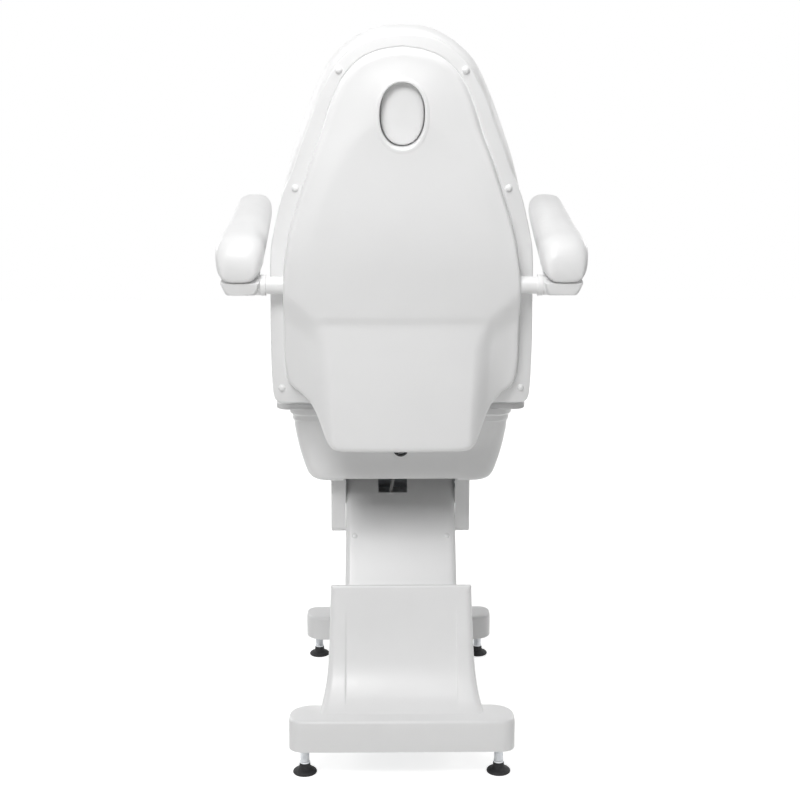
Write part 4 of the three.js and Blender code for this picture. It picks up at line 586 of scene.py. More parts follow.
def screw_caps():
    """Domed press-in caps over the shell's screws: a low dome on a thin brim, turned about the
    line out of the flange."""
    profile = [(0.2, FLANGE_N + 4.2), (3.6, FLANGE_N + 3.7), (6.6, FLANGE_N + 1.4),
               (7.2, FLANGE_N - 0.6), (8.2, FLANGE_N - 0.9), (8.3, FLANGE_N - 5.0),
               (0.2, FLANGE_N - 5.0)]
    return several("back_screw_caps", [
        turned(profile, [2, 2, 0.6, 0.3, 0.3], lambda x, y, h: in_back(x + side * u, y + s, h), 36)
        for u, s in SCREWS for side in (-1, 1)])


dress(screw_caps(), ABS, "back", "shell")


# ---------------------------------------------------------------- base

BAR_LENGTH, BAR_DEPTH, BAR_BOTTOM, BAR_TOP = 513.0, 104.0, 71.0, 145.0
BAR_OUTER_RADIUS, BAR_INNER_RADIUS = 32.0, 51.0
FRONT_DROP = 20.0
PEDESTAL_TOP = (-250.0, 404.0)      # y, z
PEDESTAL_HALF_WIDTH, PEDESTAL_FLARE, PEDESTAL_RADIUS = 164.5, 16.0, 16.0
PANEL_HALF_WIDTH, PANEL_SINK, PANEL_STEP = 127.0, 3.4, 3.5
PEDESTAL_FRONT = 45.0
SPINE_TOP, SPINE_HALF_WIDTH = 125.3, 105.0


def bar_cover(name, y, drop):
    """Cover of a cross bar: rounded rings carried up its sides, over an eased shoulder and in
    over a faintly crowned top. Its ends are nearly half round on the side towards the middle."""
    levels = [(BAR_BOTTOM + drop / 2, 0), (BAR_BOTTOM + 14, 0), (BAR_TOP - 9, 0),
              (BAR_TOP - 2.4, 2.2), (BAR_TOP, 9), (BAR_TOP + 0.9, 24), (BAR_TOP + 1.3, 40)]
    rear, front = BAR_OUTER_RADIUS, BAR_INNER_RADIUS
    if y > 0:
        rear, front = front, rear
    rings = [at_height(plan_ring((-BAR_LENGTH / 2 + back, BAR_LENGTH / 2 - back),
                                 (y - BAR_DEPTH / 2 + back, y + BAR_DEPTH / 2 - back),
                                 max(rear - back, 8), 12, 12, max(front - back, 8)), z - drop)
             for z, back in levels]
    made = skin(name, laid(lofted(rings, [1, 9, 9, 8, 6], 6)), caps=(False, True))
    return walled(made, SKIN, 0.8)


dress(bar_cover("front_bar_cover", FOOT_Y, FRONT_DROP), BASE_ABS, "base", "shell", "front_foot_cover")
dress(bar_cover("rear_bar_cover", -FOOT_Y, 0), BASE_ABS, "base", "shell", "base_cover")


def pedestal():
    """Level rings from the bar up to the top edge. The rear side leans back downwards and flares
    onto the bar as a sixth power, with a shallow centre panel between two creases that fade out
    upwards; the front side follows the swept roof, a curve from the top edge down to the spine
    cover, and stays open where the lift arm passes."""
    top_y, top_z = PEDESTAL_TOP
    roof = spline([(-242, 402), (-234, 399), (-200, 358), (-155, 300), (-100, 242), (-40, 196),
                   (25, 143.3), (PEDESTAL_FRONT, 127)], 200)[::-1]
    z = np.concatenate([[BAR_BOTTOM, 73], np.linspace(76, 124, 14), np.linspace(127, 172, 26),
                        np.linspace(176, 399, 62), [401.5, 403.4, top_z]])
    inset = np.interp(z, [399, 401.5, 403.4, top_z], [0, 0.3, 1.4, 2.9])
    u = np.clip((top_z - z) / (top_z - BAR_TOP), 0, 1)
    side = PEDESTAL_HALF_WIDTH + 6 * u - inset
    rear_side = side + PEDESTAL_FLARE * u ** 6
    rear = top_y - 92 * u - 55 * u ** 6 + inset
    front = np.where(z < 127, PEDESTAL_FRONT, np.interp(z, roof[:, 1], roof[:, 0])) - inset
    front = np.maximum(front, rear + 3.0)
    half = np.concatenate([np.linspace(0, 114, 12), np.linspace(120, 133, 12), [137, 141, 145]])
    x = np.concatenate([-half[:0:-1], half])
    turn = np.linspace(0, math.pi / 2, 9)[:, None]
    radius = np.minimum(PEDESTAL_RADIUS, np.maximum((front - rear) / 2 - 0.5, 1.0))
    left = (-rear_side + radius - radius * np.cos(turn), rear + radius - radius * np.sin(turn))
    right = (rear_side - radius + radius * np.sin(turn), rear + radius - radius * np.cos(turn))
    across = x[:, None] * np.ones_like(z)
    depth = PANEL_SINK * smooth((u - 0.12) / 0.35) * smooth((0.97 - u) / 0.10)
    sink = depth * smooth((PANEL_HALF_WIDTH + PANEL_STEP - np.abs(across)) / PANEL_STEP)
    wall = np.linspace(0, 1, 16)[1:-1, None]
    front_r = np.minimum(6.0, (front - rear) / 3)
    corner = np.linspace(0, math.pi / 2, 5)[:, None]
    fl = (-side + front_r - front_r * np.sin(corner), front - front_r + front_r * np.cos(corner))
    fr = (side - front_r + front_r * np.cos(corner), front - front_r + front_r * np.sin(corner))
    left_wall, right_wall = ([start[k][-1] + (end[k][0] - start[k][-1]) * wall for k in (0, 1)]
                             for start, end in ((fl, left), (right, fr)))
    top_x = np.concatenate([np.linspace(150, 136, 3), np.linspace(134, -134, 11),
                            np.linspace(-136, -150, 3)])[:, None] * np.ones_like(z)
    runs = (fl, left_wall, left, (across, rear + sink), right, right_wall, fr,
            (top_x, front * np.ones_like(top_x)))
    px, py = (np.concatenate([run[k] for run in runs]) for k in (0, 1))
    net = place(px, py, z * np.ones_like(px)).swapaxes(0, 1)

    def keep(c):
        way = (np.abs(c[:, 0]) < 0.1355) & (c[:, 2] > 0.212) & (c[:, 2] < 0.4038)
        forward = c[:, 1] > np.interp(c[:, 2] * 1000, z, (rear + ROW_Y + 5) / 1000)
        return ~(way & forward)

    return walled(skin("pedestal_moulding", net, caps=(False, True), keep=keep), SKIN, 1.0)


dress(pedestal(), BASE_ABS, "base", "shell", "base_cover")


def spine_cover():
    """Flat cover over the base's spine: a rounded section carried along, open below, with a
    slot for the lift actuator's bracket."""
    half = SPINE_HALF_WIDTH
    section = rounded([(half, BAR_BOTTOM), (half, SPINE_TOP), (-half, SPINE_TOP),
                       (-half, BAR_BOTTOM)], [10, 10], 9)
    top = np.concatenate([np.linspace(half - 10, 38, 8), np.linspace(36, -36, 10),
                          np.linspace(-38, -half + 10, 8)])
    points = np.vstack([section[:10], at_height(top[1:-1], SPINE_TOP), section[10:]])
    y = np.concatenate([np.linspace(45.3, 187, 14), np.linspace(189, 241, 8),
                        np.linspace(243, 327.7, 10)])
    net = place(points[None, :, 0], y[:, None], points[None, :, 1])

    def keep(c):
        return ~((np.abs(c[:, 0]) < 0.0365) & (c[:, 1] > 0.0145) & (c[:, 1] < 0.0675)
                 & (c[:, 2] > 0.12))

    return walled(skin("spine_cover_moulding", net, around=False, keep=keep), SKIN, 0.8)


dress(spine_cover(), BASE_ABS, "base", "shell", "spine_cover")


THREAD_RADIUS, THREAD_DEPTH, THREAD_PITCH = 10.7, 0.75, 2.6
NUT_CORNER_RADIUS, NUT_HEIGHT = 17.0, 9.0


def levelling_foot(foot, x, y, drop):
    """Pad and stem of a foot: the pad turned from its profile with a rolled brim, the stem a
    helix of round threads over a plain core, each turn a sine of the height and the angle, with
    a turned collar over the pad and a hexagon nut, eased at its corners, under the frame."""
    def at(px, py, h):
        return place(px + x, py + y, h)

    pad = turned([(0.3, 0), (25.5, 0), (27.5, 1.8), (27.4, 5.2), (24.0, 8.6), (15.0, 11.8),
                  (12.9, 15.5), (12.5, 23.6), (11.9, 24.0), (0.3, 24.0)],
                 [1, 1.6, 1.8, 2.4, 3.0, 3.0, 0.4, 0.3], at, 72, 5)
    dress(skin(f"foot_pad_{foot}_turned", pad, caps=(True, True)), RUBBER, f"foot_{foot}", "rubber",
          f"foot_pad_{foot}")
    frame_under = 85 - drop
    top = frame_under + 50 - 3 - 8
    h = np.linspace(29.0, top, 220)
    angle = np.linspace(0, TURN, 24, endpoint=False)
    wave = 0.5 + 0.5 * np.sin(TURN * h[:, None] / THREAD_PITCH + angle)
    radius = (THREAD_RADIUS - THREAD_DEPTH * wave) * smooth((top + 0.4 - h[:, None]) / 1.6) ** 0.3
    stem = at(radius * np.cos(angle), radius * np.sin(angle), h[:, None] + 0 * angle)
    collar = turned([(0.3, 24.3), (11.2, 24.3), (11.7, 24.8), (11.7, 27.9), (11.2, 28.4), (0.3, 28.4)],
                    [0.3, 0.3, 0.3, 0.3], at, 48, 3)
    angle = np.linspace(0, TURN, 96, endpoint=False)
    hexagon = NUT_CORNER_RADIUS * math.cos(math.pi / 6) / np.maximum(
        np.cos((angle + math.pi / 6) % (math.pi / 3) - math.pi / 6), 0.1)
    nut = []
    for level, cap in ((0, 15.2), (0.9, NUT_CORNER_RADIUS), (8.1, NUT_CORNER_RADIUS),
                       (NUT_HEIGHT, 15.2)):
        r = np.minimum(hexagon, cap)
        nut.append(at(r * np.cos(angle), r * np.sin(angle),
                      frame_under - 0.3 - NUT_HEIGHT + level + 0 * r))
    dress(several(f"foot_stem_{foot}_turned", [stem, collar, np.stack(nut)]), PLATED, f"foot_{foot}",
          "steel", f"foot_stem_{foot}")


for end, y, drop in (("rear", -FOOT_Y, 0), ("front", FOOT_Y, FRONT_DROP)):
    for side_name, x in (("left", -FOOT_X), ("right", FOOT_X)):
        levelling_foot(f"{end}_{side_name}", x, y, drop)


# ---------------------------------------------------------------- lift arm and carriage

NECK_HALF_WIDTH, NECK_REAR, NECK_FRONT, NECK_RADIUS = 131.5, 69.0, 61.0, 12.0
NECK_SIDE_TOP = 390.0           # where the sides end, below the upper pins
NECK_SCREW_X, NECK_SCREW_S = 110.0, 245.0


def half_sleeve(face, depth, sides, side_depth, s, across, opening):
    """Half of the arm's sleeve: a rounded section carried along the arm, cut short at its sides
    for the upper pins. Face is 1 for the rear half and -1 for the front one; opening gives the
    ends along the arm and across it of the hole in its face."""
    w, r = NECK_HALF_WIDTH, NECK_RADIUS
    corner = np.linspace(0, math.pi / 2, 9)
    section = np.vstack([
        [(w, n) for n in sides],
        np.column_stack([w - r + r * np.cos(corner), depth - r + r * np.sin(corner)]),
        at_height(across[1:-1], depth),
        np.column_stack([-w + r - r * np.sin(corner), depth - r + r * np.cos(corner)]),
        [(-w, n) for n in sides[::-1]]])
    net = in_arm(section[None, :, 0], s[:, None], face * section[None, :, 1])
    s0, s1, x0, x1 = opening

    def keep(c):
        x = c[:, 0] * 1000
        y, z = (c[:, 1] * 1000 - ROW_Y) - ARM_PIVOT[0], c[:, 2] * 1000 - ARM_PIVOT[1]
        along = y * math.cos(ARM_ANGLE) + z * math.sin(ARM_ANGLE)
        out = face * (-y * math.sin(ARM_ANGLE) + z * math.cos(ARM_ANGLE))
        side = (along > NECK_SIDE_TOP) & (out < side_depth) & (np.abs(x) > NECK_HALF_WIDTH - 2)
        hole = (along > s0) & (along < s1) & (out > depth - 3) & (x > x0) & (x < x1)
        return ~(side | hole)

    name = "rear" if face > 0 else "front"
    return walled(skin(f"neck_{name}_moulding", net, around=False, keep=keep), FINE_SKIN, 0.7)


def joined(*pieces):
    """Numbers one after another: each piece is a list of them, or (start, end, count)."""
    return np.concatenate([np.linspace(*piece) if isinstance(piece, tuple) else piece
                           for piece in pieces])


inside = NECK_HALF_WIDTH - NECK_RADIUS
dress(half_sleeve(
    1, NECK_REAR, [0.15, 1.2, 30, 56, 57.0], 57,
    joined([60, 61, 64], (70, 170, 12), [179.5, 180.5], (190, 350, 16),
        [354.5, 355.5, 372, 388, 389.5, 390.5], (396, 446, 8), [449, 450]),
    joined((inside, 16, 12), [14.5], (12, -51, 8), [-53.5, -55.5], (-60, -inside, 7)),
    (355, math.inf, -54.5, 15.3)), ABS, "lift_arm", "shell", "neck_cover")
dress(half_sleeve(
    -1, NECK_FRONT, [0.15, 1.2, 25, 48], 50,
    joined([60, 61, 64], (75, 140, 8), [147.5, 148.5], (155, 278, 14), [283.5, 284.5], (292, 380, 9),
        [389.5, 390.5], (396, 446, 8), [449, 450]),
    joined((inside, 34, 8), (31, -31, 7), (-34, -inside, 8)),
    (148, 284, -32.5, 32.5)), ABS, "lift_arm", "shell", "neck_front_cover")
dress(several("neck_screw_plugs", [
    turned([(0.2, NECK_REAR + 2.6), (4.4, NECK_REAR + 2.3), (6.6, NECK_REAR + 1.2),
            (7.0, NECK_REAR - 1.5), (0.2, NECK_REAR - 1.5)], [1.6, 0.9, 0.3],
           lambda a, b, h: in_arm(a + x, b + NECK_SCREW_S, h), 28, 3)
    for x in (-NECK_SCREW_X, NECK_SCREW_X)]), ABS, "lift_arm", "shell")

HOUSING_Y, HOUSING_Z, HOUSING_HALF_WIDTH = (-95.0, 190.0), (489.0, 655.0), 168.0


def housing():
    """Housing on the arm's upper end: a rounded side profile carried across between two cheeks
    with eased rims, open at the rear between the cheeks, underneath and inside the hull."""
    flat = plan_ring(HOUSING_Y, HOUSING_Z, 14, 9, 26)
    middle = np.array([sum(HOUSING_Y) / 2, sum(HOUSING_Z) / 2])
    toward = (middle - flat) / np.linalg.norm(middle - flat, axis=1)[:, None]
    w = HOUSING_HALF_WIDTH
    stations = [(-w, 40), (-w, 20), (-w, 6), (-w + 1.7, 1.7), (-w + 6, 0), (-150, 0), (-134.5, 0),
                (-132.5, 0)] + [(x, 0) for x in np.linspace(-128, 128, 17)]
    stations += [(-x, back) for x, back in stations[7::-1]]
    net = np.stack([at_height(flat + toward * back, x)[:, [2, 0, 1]] for x, back in stations])

    def keep(c):
        x, y, z = np.abs(c[:, 0]), c[:, 1], c[:, 2]
        rear = (x < 0.1335) & (y < -0.262)
        ends = (x < 0.1615) & ((z < 0.4935) | (z > 0.6505)) & (y > -0.262) & (y < 0.008)
        return ~(rear | ends)

    return walled(skin("upper_housing_moulding", laid(net), caps=(True, True), keep=keep), 4.6, 1.0)


dress(housing(), ABS, "carriage", "shell", "upper_housing")


# ---------------------------------------------------------------- seat

RAIL_TOP, HULL_BOTTOM = 811.7, 627.0
HULL_REAR, HULL_FRONT = -188.0, 262.0
BOARD_BOTTOM, BOARD_TOP = 812.0, 824.0
SOCKET_Z, SOCKET_DEPTH = 711.0, 50.0


def seat_hull():
    """Tub under the seat: round-cornered rings that step in twice under the rim, draw in on a
    falling curve, turn under and run in to the opening for the housing. The points along the rear
    side stand at set places, so that the ways for the back's actuator and for the lowered neck are
    cut straight. Each level is its height as a share, its half width, the distances in from the
    rear and the front, and its corner radius."""
    drop = RAIL_TOP - HULL_BOTTOM
    levels = [(1, 261, 0, 0, 46), (0.925, 261, 0, 0, 46), (0.915, 258.5, 1.5, 1.5, 45),
              (0.905, 255.2, 3, 3, 43), (0.84, 254.6, 4.5, 4.5, 42), (0.825, 251.5, 6, 6, 41),
              (0.72, 250.2, 13, 9, 40), (0.6, 247, 22, 12, 40), (0.48, 243, 28, 16, 39),
              (0.38, 238.5, 31, 20, 38), (0.27, 232.5, 33, 25, 37), (0.17, 226, 34, 30, 36),
              (0.10, 220.5, 35.5, 36, 35), (0.05, 213, 38, 44, 33), (0.015, 203, 46, 58, 31),
              (0.0, 188, 60, 76, 28)]
    levels += [(0.01 * t / drop, 188 - 16 * t, 60 + 4 * t, 76 + 2 * t, 28 - 12 * t)
               for t in (0.35, 0.7, 1.0)]
    middle = np.array([12, 36, 37.2, 62, 88, 112, 135.5])
    rings = []
    for u, half, back, front, radius in levels:
        flat = plan_ring((-half, half), (HULL_REAR + back, HULL_FRONT - front), radius, 10, 24)
        outer = np.linspace(137.2, half - radius, 6)[:5]
        flat[-24:, 0] = np.concatenate([-outer[::-1], -middle[::-1], middle, outer])
        rings.append(at_height(flat, HULL_BOTTOM + drop * u))
    net = laid(lofted(rings, [1.2, 1.2, 1.2, 1.5, 2, 10, 12, 12, 12, 12, 12, 8, 6, 6, 6, 1, 1], 4))

    def keep(c):
        x, y, z = np.abs(c[:, 0]), c[:, 1], c[:, 2]
        slot = (x < 0.0365) & (z > 0.742) & (y < -0.3)
        low = (x < 0.1362) & (z < (HULL_BOTTOM + 9) / 1000) & (y < -0.27)
        return ~(slot | low)

    return walled(skin("seat_hull_moulding", net, keep=keep), SKIN, 0.8)


dress(seat_hull(), ABS, "seat", "shell", "seat_hull")


def seat_board():
    """Board under the cushion: round-cornered rings over an eased edge of 3 mm."""
    z0, z1 = BOARD_BOTTOM, BOARD_TOP
    rings = [at_height(plan_ring((-291 + back, 291 - back), (-186 + back, 292 - back),
                                 32 - back, 12, 8), z)
             for z, back in ((z0, 27), (z0 - 2.6, 25), (z0 - 2.6, 2.2), (z0 - 0.4, 0), (z1 - 2.2, 0),
                             (z1, 2.2), (z1, 27))]
    net = laid(lofted(rings, [0.6, 0.8, 1.2, 1.2, 1.2], 4))
    return skin("seat_board_panel", net, caps=(True, True))


dress(seat_board(), BOARD, "seat", "board", "seat_board")


def rear_socket():
    """Round connector in the hull: a chamfered barrel with a sunk face and five pins ringed
    around its middle."""
    def at(a, b, h):
        return place(a, HULL_REAR + SOCKET_DEPTH - h, b + SOCKET_Z)

    nets = [turned([(0.3, 0), (18, 0), (18, 27.5), (16.6, 29), (14, 29), (13.2, 28.2), (13.0, 16),
                    (0.3, 16)], [0.4, 1, 0.8, 0.6, 0.5, 0.3], at)]
    for k in range(5):
        angle = math.radians(-20 + 55 * k)
        cx, cz = 7.2 * math.cos(angle), 7.2 * math.sin(angle)
        nets.append(turned([(0.2, 15.8), (1.3, 15.8), (1.3, 20.5), (0.9, 21.2), (0.2, 21.4)],
                           [0.1, 0.3, 0.3], lambda a, b, h: at(a + cx, b + cz, h), 16, 3))
    return several("rear_socket_barrel", nets)


dress(rear_socket(), NYLON, "seat", "dark", "rear_socket")


# ---------------------------------------------------------------- padded pieces

def evaluated(made):
    """Puts a piece's modifiers into its mesh."""
    graph = bpy.context.evaluated_depsgraph_get()
    mesh = bpy.data.meshes.new_from_object(made.evaluated_get(graph))
    made.modifiers.clear()
    old = made.data
    made.data = mesh
    mesh.name = old.name
    bpy.data.meshes.remove(old)


def finer(made):
    """Adds one round of subdivision."""
    halved = made.modifiers.new("finer", "SUBSURF")
    halved.levels = halved.render_levels = 1


def points_of(made):
    co = np.empty(len(made.data.vertices) * 3)
    made.data.vertices.foreach_get("co", co)
    return co.reshape(-1, 3)


def put_points(made, co):
    made.data.vertices.foreach_set("co", np.ascontiguousarray(co, dtype=np.float32).ravel())
    made.data.update()


def normals_of(made):
    normal = np.empty(len(made.data.vertices) * 3)
    made.data.vertex_normals.foreach_get("vector", normal)
    return normal.reshape(-1, 3)


CLOTH = {"quality": 6, "mass": 0.35, "tension_stiffness": 28, "compression_stiffness": 28,
         "shear_stiffness": 8, "bending_stiffness": 1.2, "use_pressure": True,
         "vertex_group_mass": "held"}
CLOTH_FRAMES = 20


def stuffed(made, voxel, hold, most, pressure=4.0):
    """Swells a closed cover as foam does: remeshed evenly, blown up as cloth with the points where
    hold(points) is 1 kept still, no point moved further than most, then subdivided once."""
    remesh = made.modifiers.new("even", "REMESH")
    remesh.mode = "VOXEL"
    remesh.voxel_size = voxel / 1000.0
    remesh.use_smooth_shade = True
    evaluated(made)
    start = points_of(made)
    held = hold(start)
    group = made.vertex_groups.new(name="held")
    levels = np.round(held * 20) / 20
    for level in np.unique(levels[levels > 0]):
        group.add(np.nonzero(levels == level)[0].tolist(), float(level), "REPLACE")
    cloth = made.modifiers.new("foam", "CLOTH")
    for setting, value in CLOTH.items():
        setattr(cloth.settings, setting, value)
    cloth.settings.uniform_pressure_force = pressure
    cloth.settings.effector_weights.gravity = 0.0
    cloth.point_cache.frame_start = 1
    cloth.point_cache.frame_end = CLOTH_FRAMES
    for frame_number in range(1, CLOTH_FRAMES + 1):
        bpy.context.scene.frame_set(frame_number)
    evaluated(made)
    bpy.context.scene.frame_set(1)
    move = (points_of(made) - start) * (1 - held)[:, None]
    length = np.linalg.norm(move, axis=1, keepdims=True)
    limit = most / 1000.0
    move *= limit * np.tanh(length / limit) / np.maximum(length, 1e-9)
    put_points(made, start + move)
    finer(made)
    evaluated(made)
    made.data.polygons.foreach_set("use_smooth", np.ones(len(made.data.polygons), bool))
    return made


SEAM_WIDTH, SEAM_DEPTH, NO_SEAM = 4.2, 2.6, 40.0


def sewn(made, distance, along):
    """Draws a seam into a padded piece: points fall along their normals by a bell of their
    distance from the seam, which the mesh then keeps with the length along it, both in mm."""
    co = points_of(made)
    off = distance(co)
    fall = SEAM_DEPTH * np.exp(-(off / SEAM_WIDTH) ** 2) / 1000.0
    put_points(made, co - normals_of(made) * fall[:, None])
    for name, value in (("seam", np.abs(off)), ("along", along(co))):
        made.data.attributes.new(name, "FLOAT", "POINT").data.foreach_set(
            "value", value.astype(np.float32))
    return made


def pad_rings(x, y, profile, radius, rounding, pull=0.0):
    """Rings of a box cushion: a round-cornered rectangle at each (height, inset) of the profile,
    its sides drawn in between the corners by pull times 1 minus the square of the place."""
    rings = []
    (x0, x1), (y0, y1) = x, y
    for z, back in profile:
        flat = plan_ring((x0 + back, x1 - back), (y0 + back, y1 - back), radius - back * 0.5, 10, 22)
        mx, my = (x0 + x1) / 2, (y0 + y1) / 2
        px = (flat[:, 0] - mx) / (x1 - x0) * 2
        py = (flat[:, 1] - my) / (y1 - y0) * 2
        flat[:, 0] -= np.sign(px) * pull * smooth((np.abs(px) - 0.8) * 5) * (1 - py ** 2)
        flat[:, 1] -= np.sign(py) * pull * smooth((np.abs(py) - 0.8) * 5) * (1 - px ** 2)
        rings.append(at_height(flat, z))
    return lofted(rings, rounding, 5)


def box_distance(px, py, x, y, radius):
    """Signed distance in mm from a round-cornered rectangle, positive inside."""
    (x0, x1), (y0, y1) = x, y
    qx = np.abs(px - (x0 + x1) / 2) - (x1 - x0) / 2 + radius
    qy = np.abs(py - (y0 + y1) / 2) - (y1 - y0) / 2 + radius
    outside = np.hypot(np.maximum(qx, 0), np.maximum(qy, 0)) + np.minimum(np.maximum(qx, qy), 0)
    return radius - outside


def from_hinge(co, hinge, angle):
    """Row-frame metres in a frame turned about X at a hinge (y, z), in mm: swung's reverse."""
    mm = co * 1000.0
    dy, dz = mm[:, 1] - ROW_Y - hinge[0], mm[:, 2] - hinge[1]
    sin, cos = math.sin(angle), math.cos(angle)
    return mm[:, 0], dy * cos + dz * sin, -dy * sin + dz * cos


def box_cushion(name, frame_of, back_to, x, y, base, profile, radius, rounding, pull, voxel, hold_over,
                most, seam_over, seam_in):
    """A box cushion: its top swells up, its base lies flat, and a sewn seam runs round its top
    edge. Profile heights are over the base; back_to turns row-frame points to its frame; the
    seam lies seam_in from the sides, on what is higher than seam_over."""
    net = pad_rings(x, y, [(base + z, back) for z, back in profile], radius, rounding, pull)
    made = skin(name, laid(net, frame_of), caps=(True, True))
    stuffed(made, voxel, lambda co: 1 - smooth((back_to(co)[2] - base - 1.0) / hold_over), most)
    half_x, half_y = (math.ceil((end - start) / 2) for start, end in (x, y))

    def off(co):
        px, py, pz = back_to(co)
        return np.where(pz > base + seam_over, box_distance(px, py, x, y, radius) - seam_in, NO_SEAM)

    def along(co):
        px, py, _ = back_to(co)
        return np.where(np.abs(px - sum(x) / 2) / half_x > np.abs(py - sum(y) / 2) / half_y, py, px)

    return sewn(made, off, along)


def seat_cushion():
    """Seat cushion on its board."""
    return box_cushion(
        "seat_cushion_sewn", place, lambda co: from_hinge(co, (0.0, 0.0), 0.0),
        (-284.0, 284.0), (-110.0, 328.0), BOARD_TOP + 0.3,
        [(0, 60), (0, 9), (12, 1), (42, 0), (66, 3), (84, 17), (90, 48), (91, 110)],
        46, [6, 9, 16, 16, 18, 30], 4, 7.0, 16, 13, 50, 16.0)


def leg_cushion(side):
    """Leg cushion: the seat cushion's make, longer and narrower, on its tray."""
    return box_cushion(
        f"leg_cushion_{'left' if side < 0 else 'right'}_sewn", in_leg,
        lambda co: from_hinge(co, LEG_HINGE, -LEG_DROOP),
        tuple(sorted((side * 13.5, side * 220.5))), (46.5, 503.5), 33.3,
        [(0, 40), (0, 7), (14, 0.5), (40, 0), (56, 3), (70, 14), (75, 36), (76, 70)],
        40, [4, 8, 12, 14, 16, 22], 2.5, 6.0, 14, 9, 42, 14.0)


def back_local(co):
    """Row-frame points in the back's frame, mm."""
    u, inward, s = from_hinge(co, BACK_HINGE, BACK_LEAN)
    return u, s, -inward


PAD_FRONT_N, CUSHION_REAR_N, PLUG_REAR_N = -72.0, 49.4, 49.7


def back_cushion():
    """Back cushion on rays out of the face hole: through the hole, over the crowned front, round
    the edge and back over the flat rear, with a seam inside the edge and one round the hole."""
    angle = directions(CUSHION_OUTLINE, 121)
    reach = reach_of(CUSHION_OUTLINE, angle) - 1.5
    hole, near_hole, on_rear = oval(angle, 1), oval(angle, 15), oval(angle, 9)
    f, r = PAD_FRONT_N, CUSHION_REAR_N
    path = [(hole, r - 6), (hole, f + 14), (oval(angle, 4), f + 4), (near_hole, f)]
    path += [(near_hole + (reach - 44 - near_hole) * t, f - 2.0 * math.sin(math.pi * t))
             for t in (0.25, 0.5, 0.75)]
    path += [(reach - 44, f), (reach - 20, f + 6), (reach - 5, f + 22), (reach, f + 45),
             (reach, r - 25), (reach - 4, r - 9), (reach - 16, r)]
    path += [(reach - 16 + (on_rear - reach + 16) * t, r) for t in (0.33, 0.66, 1.0)]
    net = rounded(rays(np.cos(angle), np.sin(angle), path), [6] * (len(path) - 2), 4)
    made = skin("back_cushion_sewn", laid(net, in_back), along=True)

    def hold(co):
        u, s, n = back_local(co)
        beyond = np.hypot(u, s - HOLE_S) / oval(np.arctan2(s - HOLE_S, u), 1)
        return np.maximum(smooth((n - 30) / 15), 1 - smooth((beyond - 1.04) / 0.35))

    def off(co):
        u, s, n = back_local(co)
        at = np.arctan2(s - HOLE_S, u)
        d = np.hypot(u, s - HOLE_S)
        edge = reach_of(CUSHION_OUTLINE, at) - d - 20.0
        ring = d - oval(at, 14)
        return np.where(n < -20, np.where(np.abs(edge) < np.abs(ring), edge, ring), NO_SEAM)

    def along(co):
        u, s, _ = back_local(co)
        at = np.arctan2(s - HOLE_S, u)
        near = np.hypot(u, s - HOLE_S) < 110
        return np.where(near, at * 70, np.where(np.abs(u) > 120, s, u))

    return sewn(stuffed(made, 8.0, hold, 12), off, along)


def face_plug():
    """Plug of the face hole: an oval pad, full at the front, with a flatter domed rear end."""
    angle = np.linspace(0, TURN, 72, endpoint=False)
    f, r = PAD_FRONT_N, PLUG_REAR_N
    profile = [(-34, f + 1), (-17, f + 2), (-6, f + 7), (0.4, f + 20), (0.4, r - 4), (-0.6, r + 1),
               (-0.7, 64), (-3.0, 69), (-14, 73), (-34, 74.5)]
    lines = rays(np.cos(angle), np.sin(angle), [(oval(angle, grow), n) for grow, n in profile])
    net = rounded(lines, [8, 8, 9, 6, 2, 2, 6, 8], 6).swapaxes(0, 1)
    made = skin("face_plug_padded", laid(net, in_back), caps=(True, True))
    finer(made)
    return made


PAD_REAR, PAD_LENGTH, PAD_TOP = -42.0, 408.0, 109.5
PAD_POWER = 2 / 2.8
COLLAR_GAP = 0.3


def pad_at(y):
    """Inner and outer edge and underside of an armrest pad at a place along it."""
    t = (y - PAD_REAR) / PAD_LENGTH
    inner = 297 + 13 * t
    return inner, inner + 108 - 40 * t, 21 + 24 * t - 6 * smooth((60 - y) / 90)


